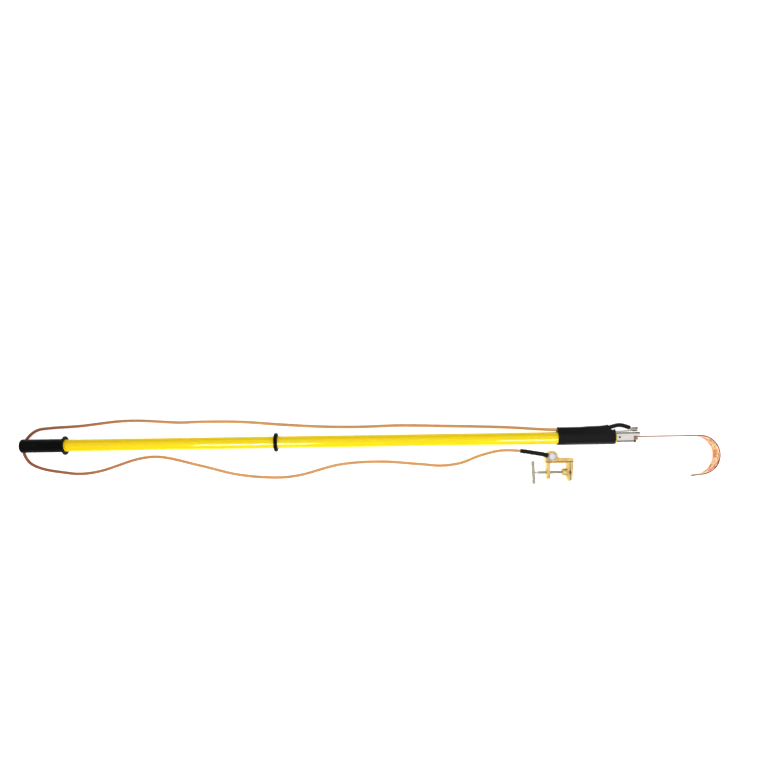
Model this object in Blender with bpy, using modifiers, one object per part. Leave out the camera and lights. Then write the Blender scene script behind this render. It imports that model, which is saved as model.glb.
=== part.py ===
"""Discharge stick: an insulated pole with a copper hook, an earth lead and a screw clamp.

The pole lies along +X, its butt at the left. It rests on its grip flange and guard ring, and the
clamp lies flat beside it at the lead's far end. Sizes are in metres, +Z is up and the floor is z = 0.
The origin is on the floor, at the centre of the box that holds the pole, hook and head fittings.
"""

import math

import bmesh
import bpy
from mathutils import Matrix, Vector

MM = 0.001
COLLECTION = "discharge_stick"
CUTTERS = "cutters"

# Clearance between pieces that seat on or inside each other.
GAP = 0.3 * MM

# Pole. Stations along the pole are measured from its butt end.
TUBE_OD = 30.0 * MM
TUBE_WALL = 3.0 * MM
TUBE_END = 1523.0 * MM
FLANGE_STATION = 109.0 * MM
RING_STATION = 636.0 * MM

# Hand grip and guard ring.
GRIP_WALL = 1.3 * MM
GRIP_END_WALL = 2.0 * MM
GRIP_CORNER = 3.0 * MM
GRIP_BULB = 0.7 * MM
GRIP_BULB_LENGTH = 9.0 * MM
GRIP_BULB_RUN = 4.0 * MM
REST_RADIUS = 23.6 * MM
FLANGE_THICKNESS = 3.0 * MM
FLANGE_EDGE = 1.2 * MM
FLANGE_ROOT = 1.8 * MM
FLARE = 2.0 * MM
FLARE_RUN = 7.0 * MM
RING_WIDTH = 9.0 * MM
RING_EDGE = 3.6 * MM

# Ferrule: a tube socket whose far end is cut back to a half-round tongue.
FERRULE_ON_TUBE = 40.0 * MM
FERRULE_OD = 34.0 * MM
FERRULE_ROUND_LENGTH = 41.3 * MM
TONGUE_LENGTH = 16.7 * MM
TONGUE_CORNER = 3.2 * MM
TONGUE_CORNER_OUT = 0.8 * MM
RIVET_OFFSET = 6.5 * MM
RIVET_DIAMETER = 4.8 * MM
RIVET_RECESS = 2.6 * MM
RIVET_RECESS_DEPTH = 2.6 * MM
RIVET_STAND = 0.2 * MM

# Hook: a flat copper strip, bolted against the tongue's two cut edges.
STRIP_WIDTH = 38.0 * MM
STRIP_THICKNESS = 3.0 * MM
STRIP_FACE = 2.5 * MM
STRIP_START_GAP = 0.7 * MM
BEND_FROM_TONGUE = 147.0 * MM
HOOK_RADIUS = 50.0 * MM
HOOK_SWEEP = 173.0
TIP_RUN = 23.0 * MM
TIP_WIDTH = 14.0 * MM
TIP_TAPER = 66.0 * MM
TIP_ROUND = 5.0 * MM
STRIP_CORNER = 3.0 * MM

# Hook bolt and nut, 8 mm thread.
THREAD = 8.0 * MM
HEX_FLATS = 13.0 * MM
HEAD_HEIGHT = 5.3 * MM
NUT_HEIGHT = 6.5 * MM
HEX_CHAMFER = 0.6 * MM
BOLT_LENGTH = 33.5 * MM
BOLT_FROM_TONGUE_END = 8.0 * MM

# Cable lugs, the same on both ends of the lead.
PALM_THICKNESS = 2.0 * MM
PALM_WIDTH = 15.0 * MM
BARREL_OD = 8.2 * MM
BARREL_LENGTH = 11.0 * MM
HEAD_LUG_NECK = 8.2 * MM
CLAMP_LUG_NECK = 10.7 * MM
LUG_NECK_RUN = 3.0 * MM
NECK_INSET = 0.2 * MM
HEAD_LUG_TILT = 20.0

# Earth lead and its black sleeves.
LEAD_OD = 7.6 * MM
SLEEVE_OD = 10.6 * MM
SLEEVE_BORE = 8.9 * MM
SLEEVE_ON_BARREL = 10.0 * MM
HEAD_SLEEVE_BEHIND = 61.0 * MM
CLAMP_SLEEVE_LENGTH = 68.0 * MM

# Heat-shrink boot round the pole and the lead.
BOOT_LENGTH = 143.5 * MM
BOOT_WALL = 1.2 * MM
BOOT_MOUTH_LEAD = 20.8 * MM
BOOT_SLANT = 24.0
BOOT_SLANT_AT = 9.0 * MM
BOOT_SLANT_REACH = 40.0 * MM
BOOT_SWELL_RUN = 20.0 * MM
BOOT_SWELL_BEFORE = 5.0 * MM
BOOT_TO_FERRULE = 1.0 * MM

# Clamp. Its own frame has x along the screw, y from the screw to the bar, and the screw as y = 0.
CLAMP_STATION = 1309.8 * MM
CLAMP_SIDE = -86.0 * MM
BAR_DEPTH = 20.0 * MM
LEG_DEPTH = 16.0 * MM
LEG_WIDTH = 9.0 * MM
LEG_BELOW = 16.2 * MM
MOUTH_WIDTH = 62.0 * MM
LEG_CORNER = 1.5 * MM
JAW_LEG_WIDTH = 8.4 * MM
JAW_LEG_TIP = 5.0 * MM
JAW_LEG_TOE = 1.5 * MM
JAW_LEG_SHOULDER = 18.6 * MM
JAW_LEG_BEND = 6.0 * MM
JAW_LEG_BELOW = 21.8 * MM
BAR_BELOW = 22.6 * MM
BAR_LEDGE = 26.6 * MM
BAR_TOP = 36.2 * MM
BAR_OVERHANG = 3.0 * MM
RAIL_DEPTH = 9.0 * MM
BOSS_X = 17.0 * MM
BOSS_Y = 39.8 * MM
BOSS_RADIUS = 14.9 * MM
BOSS_ROOT = 7.0 * MM
FRAME_FILLET = 3.0 * MM
LEGS_IN_BAR = 1.0 * MM
LUG_TURN = -14.0

# Jaw, screw and handle. The jaw is shown closed on the fixed jaw.
JAW_THICKNESS = 7.2 * MM
JAW_BELOW = 24.0 * MM
JAW_TOE_IN = 4.4 * MM
JAW_TOE_BACK = 7.0 * MM
JAW_TOE_RISE = 3.0 * MM
JAW_BOSS_OD = 19.0 * MM
JAW_BOSS_LENGTH = 11.8 * MM
NOTCH_DEPTH = 2.3 * MM
NOTCH_HEIGHT = 10.2 * MM
SCREW_IN_JAW = 14.0 * MM
GROOVE_DIAMETER = 5.2 * MM
GROOVE_WIDTH = 4.0 * MM
PIN_DIAMETER = 3.0 * MM
PIN_FROM_FACE = 5.5 * MM
HANDLE_STATION = -29.0 * MM
HANDLE_LENGTH = 57.6 * MM
HANDLE_DIAMETER = 7.6 * MM
KNOB_DIAMETER = 8.6 * MM
KNOB_LENGTH = 10.5 * MM
SPIGOT_DIAMETER = 4.4 * MM
NECK_DIAMETER = 5.6 * MM
NECK_LENGTH = 9.0 * MM
HANDLE_TILT = -10.0

# Domed bolt that holds the lug on the clamp's boss.
DOME_DIAMETER = 20.0 * MM
DOME_HEIGHT = 5.8 * MM
DOME_RIM = 1.2 * MM
SOCKET_FLATS = 6.0 * MM
SOCKET_DEPTH = 3.0 * MM
DOME_BOLT_LENGTH = 19.0 * MM

# Facets round a full turn.
FACETS = 48
SMALL_FACETS = 24
TINY_FACETS = 16
BEND_STEPS = 32
BELT_STEPS = 10
BOOT_SECTIONS = 12
SLEEVE_SIDES = 3

# Sizes that follow from the ones above.
AXIS_HEIGHT = REST_RADIUS
TUBE_RADIUS = TUBE_OD / 2
BORE_RADIUS = TUBE_RADIUS + GAP
FERRULE_RADIUS = FERRULE_OD / 2
FERRULE_START = TUBE_END - FERRULE_ON_TUBE
TONGUE_START = FERRULE_START + FERRULE_ROUND_LENGTH
TONGUE_END = TONGUE_START + TONGUE_LENGTH
BOLT_STATION = TONGUE_END - BOLT_FROM_TONGUE_END
RIVET_STATION = FERRULE_START + RIVET_OFFSET
STRIP_MIDDLE = STRIP_FACE - STRIP_THICKNESS / 2
STRIP_START = TONGUE_START + STRIP_START_GAP
BEND_STATION = TONGUE_END + BEND_FROM_TONGUE
HOOK_CENTRE = STRIP_FACE - HOOK_RADIUS
HOOK_FAR = BEND_STATION + HOOK_RADIUS
THREAD_HOLE = THREAD / 2 + GAP
LUG_SEAT = FERRULE_RADIUS + GAP
BOLT_SEAT = LUG_SEAT + PALM_THICKNESS + GAP
CLAMP_LUG_MOUTH = CLAMP_LUG_NECK + LUG_NECK_RUN + BARREL_LENGTH
BARREL_HEIGHT = SLEEVE_OD / 2
HEAD_SLEEVE_START = FERRULE_START - HEAD_SLEEVE_BEHIND
BOOT_END = FERRULE_START - BOOT_TO_FERRULE
BOOT_START = BOOT_END - BOOT_LENGTH
CLAMP_MID = BAR_DEPTH / 2
LEG_FRONT = BAR_OVERHANG + LEG_WIDTH
JAW_FACE = MOUTH_WIDTH - GAP
JAW_BACK = JAW_FACE - JAW_THICKNESS
BOSS_FACE = JAW_BACK - JAW_BOSS_LENGTH
DOME_SEAT = BAR_DEPTH + GAP + PALM_THICKNESS + GAP
HALF_LENGTH = HOOK_FAR / 2

# The lead's route from its lug to the boot's mouth, in mm: distance from the ferrule's start towards
# the hook, and side offset.
HEAD_ROUTE = (
    (18.5, 29.4), (11.5, 30.1), (4.5, 29.6), (-3.5, 27.6), (-14.5, 24.6),
    (-28.0, 22.2), (-43.0, 21.1), (-71.0, 20.7), (-107.0, 20.6),
)
# The free lead's route: station, side offset and height of its centre above the floor, in mm.
FREE_ROUTE = (
    (1297.0, 23.0, 19.6), (1248.0, 27.0, 9.6), (1199.0, 30.0, 4.4), (1149.0, 32.0, 3.8),
    (1048.0, 35.2, 3.8), (946.0, 38.0, 3.8), (846.0, 36.0, 3.8), (745.0, 38.2, 3.8),
    (643.0, 45.0, 3.8), (542.0, 53.0, 3.8), (441.0, 54.6, 3.8), (391.0, 53.5, 3.8),
    (290.0, 59.6, 3.8), (239.0, 59.0, 3.8), (138.0, 48.6, 3.8), (62.0, 44.4, 3.8),
    (31.0, 40.0, 3.8), (11.0, 27.2, 3.8), (-3.4, 6.6, 3.8), (-5.2, -16.4, 3.8),
    (9.6, -42.0, 3.8), (40.0, -57.4, 3.8), (100.0, -68.7, 3.8), (136.0, -72.3, 3.8),
    (187.0, -66.2, 3.8), (288.0, -36.0, 3.8), (339.0, -32.6, 3.8), (440.0, -55.8, 3.8),
    (540.0, -80.8, 3.8), (641.0, -89.0, 3.8), (692.0, -83.8, 3.8), (793.0, -58.6, 3.8),
    (895.0, -52.8, 3.8), (996.0, -60.6, 3.8), (1050.0, -65.2, 3.8), (1098.0, -59.4, 3.8),
    (1148.0, -41.3, 5.8), (1198.0, -29.6, 11.6), (1247.0, -30.8, 18.4), (1283.0, -36.6, 23.0),
)
LEAD_STRAIGHT = 3.5 * MM
SPLINE_STEPS = 24
LEAD_TURN_STEP = 11.0
LEAD_LONG_STEP = 58.0 * MM
SLEEVE_STEP = 9.0 * MM


def collection(name):
    """A new collection of the scene, by name."""
    made = bpy.data.collections.new(name)
    bpy.context.scene.collection.children.link(made)
    return made


def empty(name, location):
    """An empty that carries the pieces of one group."""
    made = bpy.data.objects.new(name, None)
    made.empty_display_size = 0.02
    made.location = location
    PARTS.objects.link(made)
    return made


def finish(piece, colour, roughness, metallic):
    """Gives a piece its own material."""
    material = bpy.data.materials.new(piece.name)
    material.use_nodes = True
    shader = material.node_tree.nodes["Principled BSDF"]
    shader.inputs["Base Color"].default_value = (*colour, 1.0)
    shader.inputs["Roughness"].default_value = roughness
    shader.inputs["Metallic"].default_value = metallic
    piece.data.materials.clear()
    piece.data.materials.append(material)


def put(name, mesh, group, parent, location=(0, 0, 0), rotation=(0, 0, 0)):
    """Links a mesh as a named object in a group, placed in its parent's frame."""
    piece = bpy.data.objects.new(name, mesh)
    group.objects.link(piece)
    piece.parent = parent
    piece.location = location
    piece.rotation_euler = rotation
    if group is TOOLS:
        piece.hide_render = True
        piece.display_type = "WIRE"
    return piece


def mesh_of(shape, name):
    """A mesh from a bmesh, shaded smooth with sharp edges kept."""
    bmesh.ops.recalc_face_normals(shape, faces=shape.faces)
    mesh = bpy.data.meshes.new(name)
    shape.to_mesh(mesh)
    shape.free()
    mesh.shade_smooth()
    mesh.set_sharp_from_angle(angle=math.radians(35))
    return mesh


def baked(curve, name):
    """The closed mesh of a curve object, which is then removed."""
    holder = bpy.data.objects.new(name, curve)
    bpy.context.scene.collection.objects.link(holder)
    bpy.context.view_layer.update()
    graph = bpy.context.evaluated_depsgraph_get()
    mesh = bpy.data.meshes.new_from_object(holder.evaluated_get(graph))
    bpy.data.objects.remove(holder)
    bpy.data.curves.remove(curve)
    shape = bmesh.new()
    shape.from_mesh(mesh)
    bpy.data.meshes.remove(mesh)
    bmesh.ops.remove_doubles(shape, verts=shape.verts, dist=0.01 * MM)
    return mesh_of(shape, name)


def rounded(corners, steps=3):
    """An outline's points from its corners (x, y, radius), with each corner turned as an arc."""
    points = []
    for index, (x, y, radius) in enumerate(corners):
        corner = Vector((x, y))
        if radius == 0:
            points.append(corner)
            continue
        back = (Vector(corners[index - 1][:2]) - corner).normalized()
        ahead = (Vector(corners[(index + 1) % len(corners)][:2]) - corner).normalized()
        half = back.angle(ahead) / 2
        centre = corner + (back + ahead).normalized() * radius / math.sin(half)
        start = corner + back * radius / math.tan(half) - centre
        end = corner + ahead * radius / math.tan(half) - centre
        for step in range(steps + 1):
            ray = start.lerp(end, step / steps).normalized()
            points.append(centre + ray * radius)
    return points


def plate(name, corners, low, high):
    """A flat outline in x and y, as thick as the stretch from low to high in z."""
    curve = bpy.data.curves.new(name, "CURVE")
    curve.dimensions = "2D"
    curve.fill_mode = "BOTH"
    curve.extrude = (high - low) / 2
    points = rounded(corners)
    spline = curve.splines.new("POLY")
    spline.points.add(len(points) - 1)
    for slot, point in zip(spline.points, points):
        slot.co = (point.x, point.y, 0, 1)
    spline.use_cyclic_u = True
    mesh = baked(curve, name)
    mesh.transform(Matrix.Translation((0, 0, (low + high) / 2)))
    return mesh


def tube_along(name, points, radius, sides=2):
    """A round tube with closed ends through the points. sides is its bevel resolution."""
    curve = bpy.data.curves.new(name, "CURVE")
    curve.dimensions = "3D"
    curve.bevel_depth = radius
    curve.bevel_resolution = sides
    curve.use_fill_caps = True
    curve.resolution_u = 1
    curve.twist_mode = "Z_UP"
    spline = curve.splines.new("POLY")
    spline.points.add(len(points) - 1)
    for slot, point in zip(spline.points, points):
        slot.co = (*point, 1)
    return curve


def profile(name, corners, closed):
    """The half section of a turned piece, from its corners (radius, height, fillet)."""
    shape = bmesh.new()
    verts = [shape.verts.new((point.x, 0, point.y)) for point in rounded(corners)]
    pairs = list(zip(verts, verts[1:]))
    if closed:
        pairs.append((verts[-1], verts[0]))
    for one, other in pairs:
        shape.edges.new((one, other))
    mesh = bpy.data.meshes.new(name)
    shape.to_mesh(mesh)
    shape.free()
    return mesh


def lathe(name, corners, parent, rotation, steps=FACETS, closed=True, location=(0, 0, 0)):
    """A piece turned about its own Z with the Screw modifier."""
    piece = put(name, profile(name, corners, closed), PARTS, parent, location, rotation)
    screw = piece.modifiers.new("turn", "SCREW")
    screw.axis = "Z"
    screw.steps = steps
    screw.render_steps = steps
    screw.use_merge_vertices = True
    screw.merge_threshold = 0.01 * MM
    screw.use_smooth_shade = True
    return piece


def rod(name, radius, low, high, sides=SMALL_FACETS):
    """A plain cylinder along its own Z, from low to high."""
    shape = bmesh.new()
    bmesh.ops.create_cone(
        shape, cap_ends=True, segments=sides, radius1=radius, radius2=radius, depth=high - low
    )
    bmesh.ops.translate(shape, verts=shape.verts, vec=(0, 0, (low + high) / 2))
    return mesh_of(shape, name)


def hexagon(name, flats, low, high, chamfer=0.0):
    """A six-sided prism along its own Z, with its top edge chamfered."""
    shape = bmesh.new()
    radius = flats / 2 / math.cos(math.pi / 6)
    bmesh.ops.create_cone(
        shape, cap_ends=True, segments=6, radius1=radius, radius2=radius, depth=high - low
    )
    bmesh.ops.translate(shape, verts=shape.verts, vec=(0, 0, (low + high) / 2))
    if chamfer:
        top = [edge for edge in shape.edges if all(v.co.z > high - GAP / 9 for v in edge.verts)]
        bmesh.ops.bevel(shape, geom=top, offset=chamfer, segments=1, affect="EDGES")
    return mesh_of(shape, name)


def block(name, low, high):
    """A box between two corners."""
    shape = bmesh.new()
    bmesh.ops.create_cube(shape, size=1.0)
    size = Vector(high) - Vector(low)
    bmesh.ops.scale(shape, verts=shape.verts, vec=size)
    bmesh.ops.translate(shape, verts=shape.verts, vec=(Vector(low) + Vector(high)) / 2)
    return mesh_of(shape, name)


def combine(piece, tool, operation):
    """Cuts a tool's shape from a piece, or joins it to the piece."""
    modifier = piece.modifiers.new(tool.name, "BOOLEAN")
    modifier.operation = operation
    modifier.solver = "EXACT"
    modifier.object = tool


def cut(piece, mesh, parent, location=(0, 0, 0), rotation=(0, 0, 0)):
    combine(piece, put("cut_" + mesh.name, mesh, TOOLS, parent, location, rotation), "DIFFERENCE")


def add(piece, mesh, parent, location=(0, 0, 0), rotation=(0, 0, 0)):
    combine(piece, put("add_" + mesh.name, mesh, TOOLS, parent, location, rotation), "UNION")


ALONG_X = (0, math.pi / 2, 0)
ALONG_Y = (-math.pi / 2, 0, 0)
ALONG_MINUS_Y = (math.pi / 2, 0, 0)
RIVET_SIDES = (("top", 0), ("bottom", math.pi))


def pole():
    """The insulating tube, with its foam filling, and the two rivet holes through its far end."""
    corners = (
        (TUBE_RADIUS, TUBE_END, 0),
        (TUBE_RADIUS, GRIP_END_WALL + GAP, 0),
        (TUBE_RADIUS - TUBE_WALL, GRIP_END_WALL + GAP, 0),
        (TUBE_RADIUS - TUBE_WALL, TUBE_END, 0),
    )
    tube = lathe("pole_tube", corners, STICK, ALONG_X)
    finish(tube, (0.93, 0.80, 0.01), 0.25, 0.0)
    for side, turn in RIVET_SIDES:
        cut(tube, rivet_hole("tube_hole_" + side), STICK, (RIVET_STATION, 0, 0), (turn, 0, 0))
    core = TUBE_RADIUS - TUBE_WALL - GAP
    corners = (
        (0, TUBE_END, 0),
        (core, TUBE_END, 0),
        (core, GRIP_END_WALL + GAP, 0),
        (0, GRIP_END_WALL + GAP, 0),
    )
    foam = lathe("foam_core", corners, STICK, ALONG_X, closed=False)
    finish(foam, (0.72, 0.62, 0.36), 0.95, 0.0)


def hand_grip():
    """A thin vinyl grip, thicker at its closed end and flared into a flange that keeps the hand back."""
    outer = BORE_RADIUS + GRIP_WALL
    front = FLANGE_STATION + FLANGE_THICKNESS / 2
    back = FLANGE_STATION - FLANGE_THICKNESS / 2
    corners = (
        (0, GRIP_END_WALL, 0),
        (BORE_RADIUS, GRIP_END_WALL, 0),
        (BORE_RADIUS, front, 0),
        (REST_RADIUS, front, FLANGE_EDGE),
        (REST_RADIUS, back, FLANGE_EDGE),
        (outer + FLARE, back, FLANGE_ROOT),
        (outer, back - FLARE_RUN, FLARE_RUN / 2),
        (outer, GRIP_BULB_LENGTH + GRIP_BULB_RUN, GRIP_BULB_RUN / 2),
        (outer + GRIP_BULB, GRIP_BULB_LENGTH, GRIP_BULB_RUN / 2),
        (outer + GRIP_BULB, 0, GRIP_CORNER),
        (0, 0, 0),
    )
    grip = lathe("hand_grip", corners, STICK, ALONG_X, closed=False)
    finish(grip, (0.012, 0.012, 0.013), 0.45, 0.0)


def guard_ring():
    """The rubber ring that marks how far the hands may reach, and holds the pole off the ground."""
    corners = (
        (REST_RADIUS, RING_STATION + RING_WIDTH / 2, RING_EDGE),
        (REST_RADIUS, RING_STATION - RING_WIDTH / 2, RING_EDGE),
        (BORE_RADIUS, RING_STATION - RING_WIDTH / 2, 0),
        (BORE_RADIUS, RING_STATION + RING_WIDTH / 2, 0),
    )
    ring = lathe("guard_ring", corners, STICK, ALONG_X)
    finish(ring, (0.015, 0.015, 0.016), 0.6, 0.0)


def rivet_hole(name):
    return rod(name, RIVET_DIAMETER / 2 + GAP, TUBE_RADIUS / 2, FERRULE_RADIUS * 1.2, TINY_FACETS)


def head_ferrule():
    """The aluminium socket on the tube's end, with half of its far end cut away."""
    corners = (
        (FERRULE_RADIUS, TONGUE_END, 0),
        (FERRULE_RADIUS, FERRULE_START, 0.4 * MM),
        (BORE_RADIUS, FERRULE_START, 0),
        (BORE_RADIUS, TONGUE_END, 0),
    )
    ferrule = lathe("head_ferrule", corners, STICK, ALONG_X)
    finish(ferrule, (0.80, 0.79, 0.77), 0.28, 1.0)
    far = FERRULE_RADIUS * 1.5
    seat = STRIP_FACE + GAP
    half = block("ferrule_half", (TONGUE_START, -far, -far), (TONGUE_END * 1.1, seat, far))
    cut(ferrule, half, STICK)
    for side in (-1, 1):
        corner = rod("tongue_corner", TONGUE_CORNER, 0, far, SMALL_FACETS)
        cut(ferrule, corner, STICK, (TONGUE_END + TONGUE_CORNER_OUT, 0, side * FERRULE_RADIUS), ALONG_Y)
    hole = rod("tongue_hole", THREAD_HOLE, 0, far, SMALL_FACETS)
    cut(ferrule, hole, STICK, (BOLT_STATION, 0, 0), ALONG_Y)
    for side, turn in RIVET_SIDES:
        cut(ferrule, rivet_hole("ferrule_hole_" + side), STICK, (RIVET_STATION, 0, 0), (turn, 0, 0))
        rivet(side, turn)


def rivet(side, turn):
    """A hollow rivet that pins the ferrule to the tube."""
    top = FERRULE_RADIUS + RIVET_STAND
    low = TUBE_RADIUS - TUBE_WALL + GAP
    radius = RIVET_DIAMETER / 2
    corners = (
        (0, top - RIVET_RECESS_DEPTH, 0),
        (RIVET_RECESS / 2, top - RIVET_RECESS_DEPTH, 0),
        (RIVET_RECESS / 2, top, 0),
        (radius, top, 0.3 * MM),
        (radius, low, 0),
        (0, low, 0),
    )
    name = "ferrule_rivet_" + side
    place = (RIVET_STATION, 0, 0)
    made = lathe(name, corners, STICK, (turn, 0, 0), TINY_FACETS, False, place)
    finish(made, (0.35, 0.34, 0.33), 0.4, 1.0)


def strip_point(along):
    """A point on the strip's middle surface in x and y, and its direction, at a length along it."""
    straight = BEND_STATION - STRIP_START
    radius = HOOK_RADIUS - STRIP_THICKNESS / 2
    if along <= straight:
        return STRIP_START + along, STRIP_MIDDLE
    sweep = math.radians(HOOK_SWEEP)
    turn = min((along - straight) / radius, sweep)
    rest = max(0.0, along - straight - sweep * radius)
    x = BEND_STATION + radius * math.sin(turn) + rest * math.cos(turn)
    y = HOOK_CENTRE + radius * math.cos(turn) - rest * math.sin(turn)
    return x, y


def strip_half_width(along, length):
    """Half of the strip's width at a length along it: chamfered at the bolt, drawn in at the tip."""
    half = STRIP_WIDTH / 2
    half -= max(0.0, STRIP_CORNER - along)
    left = length - along
    if left < TIP_TAPER:
        share = left / TIP_TAPER
        half = TIP_WIDTH / 2 + (STRIP_WIDTH - TIP_WIDTH) / 2 * share * share * (3 - 2 * share)
    if left < TIP_ROUND:
        half -= TIP_ROUND * (1 - math.sqrt(1 - (1 - left / TIP_ROUND) ** 2))
    return half


def hook_strip():
    """The copper strip: a sheet laid along its bent line, then given its thickness."""
    straight = BEND_STATION - STRIP_START
    radius = HOOK_RADIUS - STRIP_THICKNESS / 2
    bend = math.radians(HOOK_SWEEP) * radius
    length = straight + bend + TIP_RUN
    stops = [0.0, STRIP_CORNER]
    stops += [straight * share for share in (0.12, 0.5, 1.0)]
    stops += [straight + bend * step / BEND_STEPS for step in range(1, BEND_STEPS + 1)]
    stops += [length - TIP_RUN * share for share in (0.75, 0.5, 0.3)]
    stops += [length - TIP_ROUND * share for share in (1.0, 0.75, 0.5, 0.25, 0.1, 0.0)]
    rows = 4
    shape = bmesh.new()
    bmesh.ops.create_grid(shape, x_segments=len(stops) - 1, y_segments=rows, size=0.5)
    for vert in shape.verts:
        along = stops[round((vert.co.x + 0.5) * (len(stops) - 1))]
        x, y = strip_point(along)
        across = vert.co.y * 2 * strip_half_width(along, length)
        vert.co = (x, y, across)
    strip = put("hook_strip", mesh_of(shape, "hook_strip"), PARTS, STICK)
    finish(strip, (0.80, 0.42, 0.27), 0.3, 1.0)
    wall = strip.modifiers.new("thickness", "SOLIDIFY")
    wall.thickness = STRIP_THICKNESS
    wall.offset = 0
    wall.use_even_offset = True
    hole = rod("strip_hole", THREAD_HOLE, -HOOK_RADIUS / 2, HOOK_RADIUS / 2, SMALL_FACETS)
    cut(strip, hole, STICK, (BOLT_STATION, 0, 0), ALONG_Y)


def hook_bolt():
    """A hexagon bolt down through the lug, the tongue and the strip, with its nut below."""
    head = hexagon("hook_bolt", HEX_FLATS, BOLT_SEAT, BOLT_SEAT + HEAD_HEIGHT, HEX_CHAMFER)
    bolt = put("hook_bolt", head, PARTS, STICK, (BOLT_STATION, 0, 0), ALONG_Y)
    finish(bolt, (0.62, 0.53, 0.42), 0.35, 1.0)
    low = BOLT_SEAT - BOLT_LENGTH
    shank = rod("bolt_shank", THREAD / 2, low, BOLT_SEAT + HEAD_HEIGHT / 2, SMALL_FACETS)
    add(bolt, shank, STICK, (BOLT_STATION, 0, 0), ALONG_Y)
    top = STRIP_FACE - STRIP_THICKNESS - GAP
    body = hexagon("hook_nut", HEX_FLATS, -top, NUT_HEIGHT - top, HEX_CHAMFER)
    nut = put("hook_nut", body, PARTS, STICK, (BOLT_STATION, 0, 0), ALONG_MINUS_Y)
    finish(nut, (0.66, 0.64, 0.58), 0.35, 1.0)
    hole = rod("nut_hole", THREAD_HOLE, -NUT_HEIGHT, NUT_HEIGHT * 3, SMALL_FACETS)
    cut(nut, hole, STICK, (BOLT_STATION, 0, 0), ALONG_MINUS_Y)


def cable_lug(name, neck, tilt, parent, location, rotation):
    """A crimp lug: a flat palm with a hole at its origin, and a barrel that points back, bent up."""
    half = PALM_WIDTH / 2
    palm = plate(name, (
        (-neck, -half, 1.0 * MM), (half, -half, half * 0.99),
        (half, half, half * 0.99), (-neck, half, 1.0 * MM),
    ), 0, PALM_THICKNESS)
    lug = put(name, palm, PARTS, parent, location, rotation)
    finish(lug, (0.72, 0.71, 0.70), 0.35, 1.0)
    turn = Matrix.Rotation(math.radians(tilt) - math.pi / 2, 4, "Y")
    place = Matrix.Translation((-neck - LUG_NECK_RUN, 0, BARREL_HEIGHT)) @ turn
    overlap = 1.0 * MM
    shape = bmesh.new()
    bmesh.ops.create_circle(shape, segments=SMALL_FACETS, radius=BARREL_OD / 2 - NECK_INSET)
    bmesh.ops.translate(shape, verts=shape.verts, vec=(0, 0, overlap))
    bmesh.ops.transform(shape, matrix=place, verts=shape.verts)
    for across in (-half, half):
        for up in (0, PALM_THICKNESS):
            shape.verts.new((overlap / 2 - neck, across * 0.9, up))
    hull = bmesh.ops.convex_hull(shape, input=shape.verts)
    spare = {item for item in hull["geom_interior"] if isinstance(item, bmesh.types.BMVert)}
    bmesh.ops.delete(shape, geom=list(spare), context="VERTS")
    add(lug, mesh_of(shape, name + "_neck"), parent, location, rotation)
    barrel = rod(name + "_barrel", BARREL_OD / 2, 0, BARREL_LENGTH, SMALL_FACETS)
    barrel.transform(place)
    add(lug, barrel, parent, location, rotation)
    hole = rod(name + "_hole", THREAD_HOLE, -PALM_THICKNESS, PALM_THICKNESS * 6, SMALL_FACETS)
    cut(lug, hole, parent, location, rotation)
    return lug


def clamp_lug_place(reach):
    """A point on the clamp lug's axis, reach behind its hole, in pole stations and side offsets."""
    turn = math.radians(LUG_TURN)
    x = CLAMP_STATION + BOSS_X - reach * math.cos(turn)
    y = CLAMP_SIDE + BOSS_Y - reach * math.sin(turn)
    return Vector((x, y, BAR_DEPTH + GAP + BARREL_HEIGHT))


def head_lug_place(reach):
    """A point on the head lug's barrel axis, reach behind its neck, in pole stations and side offsets."""
    turn = math.radians(HEAD_LUG_TILT)
    x = BOLT_STATION - HEAD_LUG_NECK - LUG_NECK_RUN - reach * math.cos(turn)
    y = LUG_SEAT + BARREL_HEIGHT + reach * math.sin(turn)
    return Vector((x, y, AXIS_HEIGHT))


def head_points():
    """The lead's centre line from its lug on the ferrule to the boot's mouth."""
    points = [head_lug_place(BARREL_LENGTH + GAP), head_lug_place(BARREL_LENGTH + GAP + LEAD_STRAIGHT)]
    points += [Vector((FERRULE_START + x * MM, y * MM, AXIS_HEIGHT)) for x, y in HEAD_ROUTE]
    points.append(Vector((BOOT_START, BOOT_MOUTH_LEAD, AXIS_HEIGHT)))
    return points


def route_points():
    """Every point of the lead's route, lug to lug."""
    points = head_points()
    points += [Vector((x * MM, y * MM, z * MM)) for x, y, z in FREE_ROUTE]
    points.append(clamp_lug_place(CLAMP_LUG_MOUTH + GAP + LEAD_STRAIGHT))
    points.append(clamp_lug_place(CLAMP_LUG_MOUTH + GAP))
    return points


def smooth(points, steps=SPLINE_STEPS):
    """Fine points on a smooth curve that passes through all of the given ones."""
    first = points[0] * 2 - points[1]
    last = points[-1] * 2 - points[-2]
    line = [first, *points, last]
    fine = []
    for index in range(1, len(line) - 2):
        before, here, there, after = line[index - 1:index + 3]
        times = [0.0]
        for one, other in ((before, here), (here, there), (there, after)):
            times.append(times[-1] + max((other - one).length, MM / 10) ** 0.5)
        slope_here = blend_slope(before, here, there, times[0:3])
        slope_there = blend_slope(here, there, after, times[1:4])
        span = times[2] - times[1]
        for step in range(steps):
            t = step / steps
            fine.append(
                here * (2 * t ** 3 - 3 * t ** 2 + 1)
                + slope_here * span * (t ** 3 - 2 * t ** 2 + t)
                + there * (-2 * t ** 3 + 3 * t ** 2)
                + slope_there * span * (t ** 3 - t ** 2)
            )
    fine.append(points[-1])
    return fine


def blend_slope(before, here, after, times):
    """The curve's slope at a point, from its two neighbours and the times between them."""
    back = times[1] - times[0]
    ahead = times[2] - times[1]
    return (here - before) / back - (after - before) / (back + ahead) + (after - here) / ahead


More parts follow.
